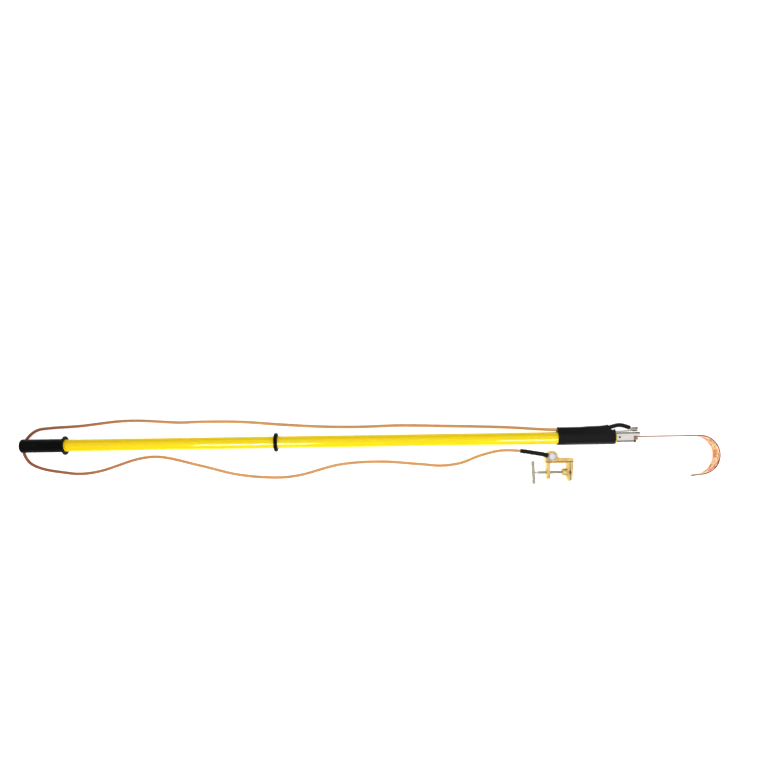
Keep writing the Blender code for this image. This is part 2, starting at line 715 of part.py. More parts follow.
def in_head_sleeve(point):
    """Whether a point of the lead lies in the sleeve at the ferrule."""
    return point.x > HEAD_SLEEVE_START and point.y > 0


def in_clamp_sleeve(point):
    """Whether a point of the lead lies in the sleeve at the clamp."""
    mouth = clamp_lug_place(CLAMP_LUG_MOUTH)
    return (point - mouth).length < CLAMP_SLEEVE_LENGTH - SLEEVE_ON_BARREL


def thinned(fine):
    """The points that the tube needs: one wherever the line has turned or run on far enough."""
    kept = [fine[0]]
    direction = (fine[1] - fine[0]).normalized()
    for here, there in zip(fine[1:-1], fine[2:]):
        step = (there - here).normalized()
        turned_by = math.degrees(direction.angle(step))
        sleeved = in_head_sleeve(here) or in_clamp_sleeve(here)
        longest = SLEEVE_STEP if sleeved else LEAD_LONG_STEP
        if turned_by > LEAD_TURN_STEP or (here - kept[-1]).length > longest:
            kept.append(here)
            direction = step
    if (kept[-1] - fine[-1]).length < LEAD_OD / 2:
        kept.pop()
    return [*kept, fine[-1]]


def lead_points(fine):
    """The points of the lead's tube, with its straight ends."""
    return [fine[0], *thinned(fine[SPLINE_STEPS:-SPLINE_STEPS]), fine[-1]]


def on_floor(points):
    """Route points moved from pole stations to the scene."""
    return [Vector((point.x - HALF_LENGTH, point.y + POLE_SIDE, point.z)) for point in points]


def earth_lead(points):
    """The clear-covered copper lead, whole from lug to lug."""
    curve = tube_along("earth_lead", on_floor(points), LEAD_OD / 2)
    lead = put("earth_lead", baked(curve, "earth_lead"), PARTS, None)
    finish(lead, (0.78, 0.44, 0.24), 0.3, 0.6)


def sleeve(name, points):
    """A black sleeve over the lead's end and its lug's barrel."""
    points = on_floor(points)
    body = put(name, baked(tube_along(name, points, SLEEVE_OD / 2, SLEEVE_SIDES), name), PARTS, None)
    finish(body, (0.02, 0.02, 0.022), 0.5, 0.0)
    longer = [points[0] * 2 - points[1], *points, points[-1] * 2 - points[-2]]
    bore = baked(tube_along(name + "_bore", longer, SLEEVE_BORE / 2, SLEEVE_SIDES), name + "_bore")
    cut(body, bore, None)


def sleeves(points):
    """The two sleeves, each from partway along its lug's barrel."""
    on_barrel = head_lug_place(BARREL_LENGTH - SLEEVE_ON_BARREL)
    sleeve("head_lug_sleeve", [on_barrel, *filter(in_head_sleeve, points)])
    on_barrel = clamp_lug_place(CLAMP_LUG_MOUTH - SLEEVE_ON_BARREL)
    sleeve("clamp_lug_sleeve", [*filter(in_clamp_sleeve, points), on_barrel])


def lead_side(fine, station):
    """How far from the pole's axis the lead's centre is at a station."""
    ahead = [point for point in fine if point.x >= station and point.y > 0]
    return min(ahead, key=lambda point: point.x).y


def belt(big, small, apart, count):
    """The outline of a belt round a circle at the origin and a smaller one at y = apart."""
    lean = math.asin((big - small) / apart)
    points = []
    for step in range(count + 1):
        angle = lean + (math.pi - 2 * lean) * step / count
        points.append((small * math.cos(angle), apart + small * math.sin(angle)))
    for step in range(count * 2 + 1):
        angle = math.pi - lean + (math.pi + 2 * lean) * step / (count * 2)
        points.append((big * math.cos(angle), big * math.sin(angle)))
    return points


def heat_shrink_boot(fine):
    """The shrunk boot that binds the lead to the pole: a belt-shaped skin, lofted along the pole."""
    outer = BORE_RADIUS + BOOT_WALL
    shape = bmesh.new()
    rings = []
    for step in range(BOOT_SECTIONS + 1):
        station = BOOT_START + (BOOT_END - BOOT_START) * step / BOOT_SECTIONS
        ahead = HEAD_SLEEVE_START - BOOT_SWELL_BEFORE - station
        share = min(max(1 - ahead / BOOT_SWELL_RUN, 0), 1)
        swell = share * share * (3 - 2 * share) * (SLEEVE_OD - LEAD_OD) / 2
        lobe = LEAD_OD / 2 + swell + GAP + BOOT_WALL
        outline = belt(outer, lobe, lead_side(fine, station), BELT_STEPS)
        rings.append([shape.verts.new((station, y, -z)) for z, y in outline])
    for one, other in zip(rings, rings[1:]):
        for index in range(len(one)):
            after = (index + 1) % len(one)
            shape.faces.new((one[index], one[after], other[after], other[index]))
    boot = put("heat_shrink_boot", mesh_of(shape, "heat_shrink_boot"), PARTS, STICK)
    finish(boot, (0.02, 0.02, 0.022), 0.35, 0.0)
    wall = boot.modifiers.new("wall", "SOLIDIFY")
    wall.thickness = BOOT_WALL
    wall.offset = -1
    far = BOOT_SLANT_REACH
    slant = block("boot_slant", (0, 0, -far), (far, far, far))
    place = (BOOT_END - BOOT_SLANT_AT, outer + GAP, 0)
    cut(boot, slant, STICK, place, (0, 0, math.radians(BOOT_SLANT)))


def clamp_frame():
    """The brass frame: a thick bar with a lug boss, a thinner leg at each end and a rail between."""
    low = CLAMP_MID - LEG_DEPTH / 2
    high = CLAMP_MID + LEG_DEPTH / 2
    right = MOUTH_WIDTH + JAW_LEG_WIDTH
    notch = NOTCH_HEIGHT / 2
    legs = plate("clamp_frame", (
        (BAR_OVERHANG, -LEG_BELOW, LEG_CORNER),
        (LEG_FRONT, -LEG_BELOW, LEG_CORNER),
        (LEG_FRONT, BAR_BELOW, FRAME_FILLET),
        (MOUTH_WIDTH, BAR_BELOW, 0),
        (MOUTH_WIDTH, notch, 0),
        (MOUTH_WIDTH + NOTCH_DEPTH, 0, 0),
        (MOUTH_WIDTH, -notch, 0),
        (MOUTH_WIDTH, -JAW_LEG_BELOW, 0.6 * MM),
        (MOUTH_WIDTH + JAW_LEG_TIP, -JAW_LEG_BELOW + JAW_LEG_TOE, 1.2 * MM),
        (right, JAW_LEG_SHOULDER, JAW_LEG_BEND),
        (right, BAR_TOP - LEGS_IN_BAR, FRAME_FILLET),
        (BAR_OVERHANG, BAR_TOP - LEGS_IN_BAR, 0),
    ), low, high)
    frame = put("clamp_frame", legs, PARTS, CLAMP)
    finish(frame, (0.70, 0.52, 0.24), 0.35, 1.0)
    bar = plate("clamp_bar", (
        (0, BAR_LEDGE, LEG_CORNER),
        (right, BAR_LEDGE, 0.8 * MM),
        (right, BAR_TOP, FRAME_FILLET),
        (BOSS_X + BOSS_RADIUS * 1.08, BAR_TOP, BOSS_ROOT),
        (BOSS_X + BOSS_RADIUS * 0.62, BAR_TOP + BOSS_RADIUS * 0.58, 0),
        (BOSS_X, BOSS_Y + BOSS_RADIUS / 2, 0),
        (0, BOSS_Y, 2.0 * MM),
    ), 0, BAR_DEPTH)
    add(frame, bar, CLAMP)
    boss = rod("clamp_boss", BOSS_RADIUS, 0, BAR_DEPTH, FACETS)
    add(frame, boss, CLAMP, (BOSS_X, BOSS_Y, 0))
    for side, (start, stop) in {
        "below": (-GAP, CLAMP_MID - RAIL_DEPTH / 2),
        "above": (CLAMP_MID + RAIL_DEPTH / 2, BAR_DEPTH + GAP),
    }.items():
        corners = (LEG_FRONT, BAR_BELOW - FRAME_FILLET, start), (MOUTH_WIDTH, BAR_LEDGE, stop)
        cut(frame, block("rail_" + side, *corners), CLAMP)
    hole = rod("leg_hole", THREAD_HOLE, -LEG_FRONT, LEG_FRONT * 2, SMALL_FACETS)
    cut(frame, hole, CLAMP, (0, 0, CLAMP_MID), ALONG_X)
    hole = rod("boss_hole", THREAD_HOLE, -BAR_DEPTH, BAR_DEPTH * 2, SMALL_FACETS)
    cut(frame, hole, CLAMP, (BOSS_X, BOSS_Y, 0))


def clamp_jaw():
    """The sliding jaw: a plate that straddles the rail, with a round boss that holds the screw."""
    notch = NOTCH_HEIGHT / 2
    body = plate("clamp_jaw", (
        (JAW_BACK, -JAW_BELOW + JAW_TOE_BACK, 0),
        (JAW_BACK + JAW_TOE_IN, -JAW_BELOW, 1.0 * MM),
        (JAW_FACE, -JAW_BELOW + JAW_TOE_RISE, 0),
        (JAW_FACE, -notch, 0),
        (JAW_FACE - NOTCH_DEPTH, 0, 0),
        (JAW_FACE, notch, 0),
        (JAW_FACE, BAR_LEDGE - GAP, 0),
        (JAW_BACK, BAR_LEDGE - GAP, 2.0 * MM),
    ), CLAMP_MID - LEG_DEPTH / 2, CLAMP_MID + LEG_DEPTH / 2)
    jaw = put("clamp_jaw", body, PARTS, CLAMP)
    finish(jaw, (0.70, 0.52, 0.24), 0.35, 1.0)
    middle = (0, 0, CLAMP_MID)
    boss = rod("jaw_boss", JAW_BOSS_OD / 2, BOSS_FACE, JAW_BACK + JAW_THICKNESS / 4, SMALL_FACETS)
    add(jaw, boss, CLAMP, middle, ALONG_X)
    half = RAIL_DEPTH / 2 + GAP
    slot = block("jaw_slot", (JAW_BACK - JAW_THICKNESS, BAR_BELOW - GAP, CLAMP_MID - half),
                 (JAW_FACE + JAW_THICKNESS, BAR_TOP, CLAMP_MID + half))
    cut(jaw, slot, CLAMP)
    depth = BOSS_FACE + SCREW_IN_JAW + GAP
    bore = rod("jaw_bore", THREAD_HOLE, BOSS_FACE - JAW_BOSS_LENGTH, depth, SMALL_FACETS)
    cut(jaw, bore, CLAMP, middle, ALONG_X)
    across = (BOSS_FACE + PIN_FROM_FACE, pin_side(), CLAMP_MID)
    hole = rod("jaw_pin_hole", PIN_DIAMETER / 2 + GAP, -BAR_DEPTH, BAR_DEPTH, TINY_FACETS)
    cut(jaw, hole, CLAMP, across)
    reach = JAW_BOSS_OD / 2 * 0.82
    body = rod("jaw_pin", PIN_DIAMETER / 2, -reach, reach, TINY_FACETS)
    pin = put("jaw_pin", body, PARTS, CLAMP, across)
    finish(pin, (0.55, 0.54, 0.52), 0.3, 1.0)


def pin_side():
    """How far the pin's centre is from the screw's axis, so that it sits in the screw's groove."""
    return GROOVE_DIAMETER / 2 + GAP + PIN_DIAMETER / 2


def clamp_screw():
    """The steel screw: spigot and neck at the handle, a groove for the pin inside the jaw."""
    end = BOSS_FACE + SCREW_IN_JAW
    groove = BOSS_FACE + PIN_FROM_FACE
    shoulder = HANDLE_STATION + HANDLE_DIAMETER / 2 + GAP
    spigot = HANDLE_STATION - HANDLE_DIAMETER / 2 - 1.0 * MM
    corners = (
        (0, end, 0),
        (THREAD / 2, end, 0.8 * MM),
        (THREAD / 2, groove + GROOVE_WIDTH / 2, 0),
        (GROOVE_DIAMETER / 2, groove + GROOVE_WIDTH / 2, 0),
        (GROOVE_DIAMETER / 2, groove - GROOVE_WIDTH / 2, 0),
        (THREAD / 2, groove - GROOVE_WIDTH / 2, 0),
        (THREAD / 2, shoulder + NECK_LENGTH, 0),
        (NECK_DIAMETER / 2, shoulder + NECK_LENGTH / 2, 0),
        (NECK_DIAMETER / 2, shoulder, 0),
        (SPIGOT_DIAMETER / 2, shoulder, 0),
        (SPIGOT_DIAMETER / 2, spigot, 0.5 * MM),
        (0, spigot, 0),
    )
    place = (0, 0, CLAMP_MID)
    screw = lathe("clamp_screw", corners, CLAMP, ALONG_X, SMALL_FACETS, False, place)
    finish(screw, (0.62, 0.61, 0.57), 0.3, 1.0)


def clamp_handle():
    """The cross handle, riveted on the screw's spigot, with a knob turned at each end."""
    half = HANDLE_LENGTH / 2
    knob = half - KNOB_LENGTH
    radius = HANDLE_DIAMETER / 2
    corners = (
        (0, half, 0),
        (KNOB_DIAMETER / 2, half, 1.2 * MM),
        (KNOB_DIAMETER / 2, knob, 0.6 * MM),
        (radius, knob - 0.8 * MM, 0),
        (radius, -knob + 0.8 * MM, 0),
        (KNOB_DIAMETER / 2, -knob, 0.6 * MM),
        (KNOB_DIAMETER / 2, -half, 1.2 * MM),
        (0, -half, 0),
    )
    tilt = math.radians(HANDLE_TILT)
    place = (HANDLE_STATION, 0, CLAMP_MID)
    turn = (-math.pi / 2 + tilt, 0, 0)
    handle = lathe("clamp_handle", corners, CLAMP, turn, SMALL_FACETS, False, place)
    finish(handle, (0.62, 0.61, 0.57), 0.3, 1.0)
    hole = rod("handle_hole", SPIGOT_DIAMETER / 2 + GAP, -KNOB_DIAMETER, KNOB_DIAMETER, TINY_FACETS)
    cut(handle, hole, CLAMP, place, ALONG_X)


def clamp_bolt():
    """The bright domed bolt that holds the lug on the boss."""
    low = DOME_SEAT - DOME_BOLT_LENGTH
    radius = DOME_DIAMETER / 2
    rise = DOME_HEIGHT - DOME_RIM
    dome = []
    for step in range(6):
        angle = math.pi / 2 * (1 - step / 6)
        dome.append((radius * math.cos(angle), DOME_SEAT + DOME_RIM + rise * math.sin(angle), 0))
    corners = (
        *dome,
        (radius, DOME_SEAT + DOME_RIM, 0),
        (radius, DOME_SEAT, 0.4 * MM),
        (THREAD / 2, DOME_SEAT, 0),
        (THREAD / 2, low, 0.8 * MM),
        (0, low, 0),
    )
    place = (BOSS_X, BOSS_Y, 0)
    bolt = lathe("clamp_bolt", corners, CLAMP, (0, 0, 0), SMALL_FACETS, False, place)
    finish(bolt, (0.85, 0.85, 0.86), 0.2, 1.0)
    top = DOME_SEAT + DOME_HEIGHT
    socket = hexagon("bolt_socket", SOCKET_FLATS, top - SOCKET_DEPTH, top + SOCKET_DEPTH)
    cut(bolt, socket, CLAMP, place)


def build():
    """Makes every piece."""
    pole()
    hand_grip()
    guard_ring()
    head_ferrule()
    hook_strip()
    hook_bolt()
    cable_lug("head_lug", HEAD_LUG_NECK, HEAD_LUG_TILT, STICK, (BOLT_STATION, LUG_SEAT, 0), ALONG_Y)
    turn = (0, 0, math.radians(LUG_TURN))
    cable_lug("clamp_lug", CLAMP_LUG_NECK, 0, CLAMP, (BOSS_X, BOSS_Y, BAR_DEPTH + GAP), turn)
    heat_shrink_boot(FINE)
    points = lead_points(FINE)
    earth_lead(points)
    sleeves(points)
    clamp_bolt()
    clamp_frame()
    clamp_jaw()
    clamp_screw()
    clamp_handle()


for old in list(bpy.data.objects):
    bpy.data.objects.remove(old)
PARTS = collection(COLLECTION)
TOOLS = collection(CUTTERS)
FINE = smooth(route_points())
ARCH_TOP = max(point.y for point in FINE if point.x > TUBE_END / 2 and point.x < TUBE_END)
POLE_SIDE = -(ARCH_TOP + SLEEVE_OD / 2 + HOOK_CENTRE - HOOK_RADIUS) / 2
STICK = empty("stick", (-HALF_LENGTH, POLE_SIDE, AXIS_HEIGHT))
CLAMP = empty("clamp", (CLAMP_STATION - HALF_LENGTH, CLAMP_SIDE + POLE_SIDE, 0))
build()
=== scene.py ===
# %% [markdown]
# # A discharge stick, dressed piece by piece
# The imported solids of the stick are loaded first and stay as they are: they say where every piece
# is and how it moves. Each step below then makes one visible piece with more care than a solid
# needs, gives it its finish, and lets it ride on the body that it belongs to. All lengths are in
# metres, +X runs along the pole to the hook and +Z is up.

# %% Load the frame
import math

import bmesh
import bpy
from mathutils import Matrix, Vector, noise


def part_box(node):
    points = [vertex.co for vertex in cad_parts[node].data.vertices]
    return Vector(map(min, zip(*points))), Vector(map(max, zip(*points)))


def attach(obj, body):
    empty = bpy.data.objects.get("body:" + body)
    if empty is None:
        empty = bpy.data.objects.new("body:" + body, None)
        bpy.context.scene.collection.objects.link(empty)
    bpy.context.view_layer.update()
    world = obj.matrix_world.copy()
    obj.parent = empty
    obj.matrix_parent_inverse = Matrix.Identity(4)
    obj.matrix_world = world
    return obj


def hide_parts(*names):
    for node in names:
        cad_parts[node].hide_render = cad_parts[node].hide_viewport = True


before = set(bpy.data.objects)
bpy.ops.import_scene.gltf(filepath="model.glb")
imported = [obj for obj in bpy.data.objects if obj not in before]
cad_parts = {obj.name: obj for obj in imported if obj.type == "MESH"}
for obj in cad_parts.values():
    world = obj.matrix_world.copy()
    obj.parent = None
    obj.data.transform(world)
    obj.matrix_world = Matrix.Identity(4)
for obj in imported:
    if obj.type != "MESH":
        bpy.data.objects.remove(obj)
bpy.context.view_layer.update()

MM = 0.001

# %% [markdown]
# ## Where things are
# A long thin object is easiest to describe by stations: how far a point is from the pole's butt,
# how far to the side of its axis, and how high. The clamp has stations of its own, along its screw.
# Both are read from the loaded solids, so nothing here has to be measured twice.

# %% Stations along the pole and in the clamp
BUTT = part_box("hand_grip")[0].x
POLE = (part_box("pole_tube")[0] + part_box("pole_tube")[1]) / 2
SCREW = (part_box("clamp_screw")[0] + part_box("clamp_screw")[1]) / 2
CLAMP_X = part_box("clamp_frame")[0].x


def spot(station, side=0.0, rise=0.0):
    """A point of the scene, in metres, from millimetres along the pole, sideways and up from its axis."""
    return Vector((BUTT + station * MM, POLE.y + side * MM, POLE.z + rise * MM))


def grip_spot(x, y=0.0, rise=0.0):
    """A point of the clamp: millimetres along its screw, towards its bar, and up from the screw."""
    return Vector((CLAMP_X + x * MM, SCREW.y + y * MM, SCREW.z + rise * MM))


print("pole axis", tuple(round(v, 4) for v in POLE), "clamp axis", tuple(round(v, 4) for v in SCREW))

# %% [markdown]
# ## The camera
# The picture is taken straight down from about 1.75 m, with the whole stick across the frame. A
# moderate lens at that height shows a little of the sides of whatever lies away from the middle,
# and that is what opens the hook's wide copper face, while its straight stretch shows only its
# edge: so the camera stands right over the pole, and the picture is shifted down to leave the pole
# below the middle. The camera is turned by under a degree.

# %% Camera
EYE = spot(905.8, 0, 1725)
bpy.ops.object.camera_add(location=EYE, rotation=(0, 0, math.radians(-0.876)))
camera = bpy.context.object
camera.data.lens = 36 * 690 / 768
camera.data.sensor_width = 36
camera.data.shift_y = 56.7 / 768
camera.data.clip_start = 0.05
bpy.context.scene.camera = camera
print("camera", tuple(round(v, 3) for v in EYE), "lens", round(camera.data.lens, 2))

# %% [markdown]
# ## Shader sums written as Python
# A material is arithmetic on patterns. One small class wraps a socket, so that `a * 0.3 + b` adds
# the nodes by itself. Colours go through Mix, vectors through Vector Math, and every other node
# comes from one method that takes its type, its settings and what goes into its sockets.

# %% A socket that can be added and multiplied


class Flow:
    """The output of a shader node, usable in sums."""

    def __init__(self, finish, socket):
        self.finish = finish
        self.socket = socket

    def sum(self, operation, first, second=0.0):
        return self.finish.node("Math", {"operation": operation}, {0: first, 1: second})

    def __add__(self, other):
        return self.sum("ADD", self, other)

    def __sub__(self, other):
        return self.sum("SUBTRACT", self, other)

    def __rsub__(self, other):
        return self.sum("SUBTRACT", other, self)

    def __mul__(self, other):
        return self.sum("MULTIPLY", self, other)

    def __truediv__(self, other):
        return self.sum("DIVIDE", self, other)

    def __pow__(self, other):
        return self.sum("POWER", self, other)

    __radd__ = __add__
    __rmul__ = __mul__


class Finish:
    """A material under way: its nodes, and the shader that they feed."""

    def __init__(self, name):
        self.material = bpy.data.materials.new(name)
        self.material.use_nodes = True
        self.tree = self.material.node_tree
        self.shader = self.tree.nodes["Principled BSDF"]

    def feed(self, socket, value):
        if isinstance(value, Flow):
            self.tree.links.new(value.socket, socket)
        elif hasattr(value, "__len__") and len(value) == 3 and len(socket.default_value) == 4:
            socket.default_value = (*value, 1.0)
        else:
            socket.default_value = value

    def node(self, kind, settings, inputs, output=0):
        made = self.tree.nodes.new("ShaderNode" + kind)
        for key, value in settings.items():
            if key == "stops":
                for stop, (place, shade) in zip(made.color_ramp.elements, value):
                    stop.position = place
                    stop.color = (*shade, 1.0) if len(shade) == 3 else shade
            else:
                setattr(made, key, value)
        for key, value in inputs.items():
            self.feed(made.inputs[key], value)
        return Flow(self, made.outputs[output])

    def set(self, **values):
        for name, value in values.items():
            self.feed(self.shader.inputs[name.replace("_", " ").title().replace("Ior", "IOR")], value)


print("shader helpers ready")

# %% [markdown]
# A few patterns are used by nearly every finish: soft noise, noise stretched along one direction as
# drawing and brushing leave it, a step from one value to another, a mix of two colours, and a bump.

# %% Patterns that the finishes share


def linear(red, green, blue):
    """A colour seen on screen, 0 to 255, as the shader needs it."""
    return tuple((c / 255 / 12.92) if c <= 10 else ((c / 255 + 0.055) / 1.055) ** 2.4 for c in (red, green, blue))


def place_of(finish, stretch=(1, 1, 1)):
    """The point on the piece, in metres, stretched along the axes."""
    point = finish.node("TexCoord", {}, {}, "Object")
    return finish.node("VectorMath", {"operation": "MULTIPLY"}, {0: point, 1: stretch})


def coordinate(finish, axis):
    """One coordinate of the point on the piece, in metres: axis 0, 1 or 2 for x, y or z."""
    return finish.node("SeparateXYZ", {}, {0: place_of(finish)}, axis)


def apart(finish, value, other):
    """How far a value is from another one, either way."""
    return finish.node("Math", {"operation": "ABSOLUTE"}, {0: value - other})


def cloud(finish, scale, stretch=(1, 1, 1), detail=3.0, roughness=0.55):
    """Noise from 0 to 1, scale blobs to the metre."""
    inputs = {"Vector": place_of(finish, stretch), "Scale": scale, "Detail": detail, "Roughness": roughness}
    return finish.node("TexNoise", {}, inputs)


def step(finish, value, low, high, to_low=0.0, to_high=1.0):
    """Runs from to_low to to_high while the value goes from low to high, and stays there."""
    inputs = {0: value, 1: low, 2: high, 3: to_low, 4: to_high}
    return finish.node("MapRange", {"interpolation_type": "SMOOTHSTEP"}, inputs)


def blend(finish, share, first, second):
    """A mix of two colours."""
    return finish.node("Mix", {"data_type": "RGBA"}, {0: share, 6: first, 7: second}, 2)


def bump(finish, height, strength=0.3, depth=0.1 * MM):
    """Turns a height pattern into a slight relief."""
    return finish.node("Bump", {}, {"Height": height, "Strength": strength, "Distance": depth})


print("patterns ready")

# %% [markdown]
# ## Yellow gel coat
# The pole is glass fibre in polyester, pulled through a hot die. It comes out glossy, with very
# faint streaks along its length, and it is handled by gloves and laid on gravel, so it gathers
# fine scuffs. Towards the butt the yellow is painted warmer and darker, as painted shade there.

# %% Finish: yellow gel coat
YELLOW = Finish("yellow_gel_coat")
streaks = cloud(YELLOW, 260, (0.012, 1, 1), 4)
blotches = cloud(YELLOW, 9, (1, 1, 1), 2)
scuffs = step(YELLOW, cloud(YELLOW, 900, (0.35, 1, 1), 6, 0.7), 0.66, 0.72)
gel = blend(YELLOW, streaks * 0.5 + blotches * 0.4, linear(245, 213, 0), linear(252, 222, 1))
# Painted shade: over the last 0.45 m towards the butt the gel coat turns warmer and darker.
butt_shade_share = step(YELLOW, coordinate(YELLOW, 0), BUTT, BUTT + 0.45, 1.0, 0.0)
gel_with_butt_shade = blend(YELLOW, butt_shade_share, gel, linear(244, 206, 1))
YELLOW.set(
    base_color=blend(YELLOW, scuffs * 0.2, gel_with_butt_shade, linear(216, 186, 50)),
    roughness=0.3 + streaks * 0.1 + scuffs * 0.25,
    specular_ior_level=0.0,
    coat_weight=0.5 - scuffs * 0.2,
    coat_roughness=0.06,
    normal=bump(YELLOW, streaks * 0.2 + scuffs * -0.3, 0.08, 0.02 * MM),
)
print("yellow gel coat:", len(YELLOW.tree.nodes), "nodes")

# %% [markdown]
# ## Black vinyl, rubber and shrunk plastic
# Four black pieces look alike from afar and differ up close. The dipped vinyl grip is satin with a
# slight orange peel, the guard ring is matte moulded rubber with dust in its pores, and the shrunk
# boot and sleeves are tighter and glossier, with pulled creases.

# %% Finish: dipped vinyl
VINYL = Finish("black_vinyl")
peel = cloud(VINYL, 1400, (1, 1, 1), 2)
handled = cloud(VINYL, 60, (0.4, 1, 1), 4)
VINYL.set(
    base_color=blend(VINYL, step(VINYL, handled, 0.5, 0.75), (0.0012, 0.0012, 0.0014), (0.0035, 0.0035, 0.0038)),
    roughness=0.42 + handled * 0.2,
    specular_ior_level=0.06,
    normal=bump(VINYL, peel + handled * 0.6, 0.25, 0.06 * MM),
)
print("vinyl:", len(VINYL.tree.nodes), "nodes")

# %% Finish: moulded rubber
RUBBER = Finish("black_rubber")
pores = cloud(RUBBER, 2600, (1, 1, 1), 4, 0.7)
dust = step(RUBBER, cloud(RUBBER, 420, (1, 1, 1), 5, 0.65), 0.55, 0.75)
RUBBER.set(
    base_color=blend(RUBBER, dust * 0.5, (0.0015, 0.0015, 0.0017), (0.007, 0.0068, 0.0065)),
    roughness=0.5 + dust * 0.2,
    specular_ior_level=0.06,
    normal=bump(RUBBER, pores, 0.3, 0.05 * MM),
)
print("rubber:", len(RUBBER.tree.nodes), "nodes")

# %% Finish: shrunk plastic
SHRINK = Finish("shrunk_plastic")
drawn = cloud(SHRINK, 160, (0.25, 1, 1), 4)
fine = cloud(SHRINK, 1500, (1, 1, 1), 3)
SHRINK.set(
    base_color=blend(SHRINK, drawn, (0.003, 0.003, 0.0032), (0.007, 0.0068, 0.0075)),
    roughness=0.26 + drawn * 0.16 + fine * 0.06,
    specular_ior_level=0.15,
    normal=bump(SHRINK, drawn + fine * 0.2, 0.3, 0.14 * MM),
)
print("shrunk plastic:", len(SHRINK.tree.nodes), "nodes")

# %% [markdown]
# ## Metals
# The ferrule is drawn aluminium: bright, with lines along its length and round its turned end.
# The hook is rolled copper strip, brushed along its length and tarnished in patches. The clamp
# is cast brass, machined on its working faces. Screw, handle, bolt and nut are plated steel.

# %% Finish: drawn aluminium
ALUMINIUM = Finish("drawn_aluminium")
lines = cloud(ALUMINIUM, 1500, (0.02, 1, 1), 4)
smears = cloud(ALUMINIUM, 90, (0.5, 1, 1), 4)
ALUMINIUM.set(
    base_color=blend(ALUMINIUM, smears, (0.7, 0.67, 0.63), (0.88, 0.86, 0.82)),
    metallic=1.0,
    roughness=0.12 + lines * 0.1 + smears * 0.06,
    normal=bump(ALUMINIUM, lines, 0.2, 0.04 * MM),
)
print("aluminium:", len(ALUMINIUM.tree.nodes), "nodes")

# %% [markdown]
# The strip is bright where it was rolled and brown where it has been handled, hot or wet, in patches
# of three sizes. Its narrow tip, which touches the lines, is smoked grey. A number on its faces,
# which the hook gets further down, says which of them were sheared and never polished.

# %% Finish: rolled copper
COPPER = Finish("rolled_copper")
HOOK_TIP = spot(1671, -98.4)
brushed = cloud(COPPER, 1800, (0.03, 0.03, 1), 5)
tarnish = step(COPPER, cloud(COPPER, 42, (1, 1, 1), 6, 0.65), 0.42, 0.62)
burnt = step(COPPER, cloud(COPPER, 95, (1, 1, 1), 4, 0.6), 0.52, 0.62)
spots = step(COPPER, cloud(COPPER, 380, (1, 1, 1), 4, 0.6), 0.62, 0.72)
sheared = COPPER.node("Attribute", {"attribute_name": "sheared"}, {}, 2)
clean = blend(COPPER, brushed, linear(236, 184, 136), linear(252, 214, 168))
worn = blend(COPPER, tarnish * 0.8, clean, linear(202, 124, 70))
marked = blend(COPPER, burnt * 0.8, worn, linear(146, 74, 34))
spotted = blend(COPPER, spots * 0.6, marked, linear(112, 54, 30))
to_tip = COPPER.node("VectorMath", {"operation": "DISTANCE"}, {0: place_of(COPPER), 1: HOOK_TIP}, 1)
smoked = step(COPPER, to_tip, 8 * MM, 30 * MM, 1.0, 0.0)
used = blend(COPPER, smoked * 0.85, spotted, linear(116, 98, 76))
COPPER.set(
    base_color=blend(COPPER, sheared * 0.85 * (1 - smoked), used, linear(140, 70, 50)),
    metallic=1.0,
    roughness=0.3 + brushed * 0.12 + tarnish * 0.2,
    normal=bump(COPPER, brushed + spots * 0.4, 0.3, 0.05 * MM),
)
print("copper:", len(COPPER.tree.nodes), "nodes")

# %% [markdown]
# The brass is bright, with patina in patches. Painted shade darkens it brown in the corner below
# the thick bar and along the joint of the closed jaws, and near black in their notch. These
# lines are drawn by the clamp's own stations. The two thin ones lie near its top only, so the open
# jaws show clean faces.

# %% Finish: cast brass
BRASS = Finish("cast_brass")
JAWS_MEET = 61.85
LEDGE = 26.4
NOTCH_REACH = 3.6
NOTCH_HALF = 7.0
grain = cloud(BRASS, 1700, (1, 1, 1), 4, 0.65)
patina = step(BRASS, cloud(BRASS, 70, (1, 1, 1), 5, 0.6), 0.4, 0.7)
scratches = step(BRASS, cloud(BRASS, 700, (0.12, 1, 1), 5, 0.7), 0.62, 0.7)
polished = blend(BRASS, grain, linear(236, 202, 126), linear(253, 228, 158))
toned = blend(BRASS, patina * 0.6, polished, linear(212, 160, 86))
up_bar = coordinate(BRASS, 1)
from_joint = apart(BRASS, coordinate(BRASS, 0), grip_spot(JAWS_MEET).x)
from_ledge = apart(BRASS, up_bar, grip_spot(0, LEDGE).y)
from_screw = apart(BRASS, up_bar, SCREW.y)
near_top = step(BRASS, coordinate(BRASS, 2), grip_spot(0, 0, 5.5).z, grip_spot(0, 0, 7.0).z)
below_bar = step(BRASS, up_bar, grip_spot(0, LEDGE - 1.4).y, grip_spot(0, LEDGE - 0.4).y, 1.0, 0.0)
in_joint = step(BRASS, from_joint, 0.6 * MM, 1.2 * MM, 1.0, 0.0) * below_bar
on_ledge = step(BRASS, from_ledge, 0.9 * MM, 1.6 * MM, 1.0, 0.0)
to_notch = from_joint / NOTCH_REACH + from_screw / NOTCH_HALF
in_notch = step(BRASS, to_notch, 0.9 * MM, 1.05 * MM, 1.0, 0.0)
# Painted shade: dark brown lines in the corner below the thick bar and along the joint of the closed jaws, near the
# top.
painted_shade_lines = BRASS.node("Math", {"operation": "MAXIMUM"}, {0: in_joint, 1: on_ledge}) * near_top
brass_with_painted_shade = blend(BRASS, painted_shade_lines * 0.85, toned, linear(104, 60, 16))
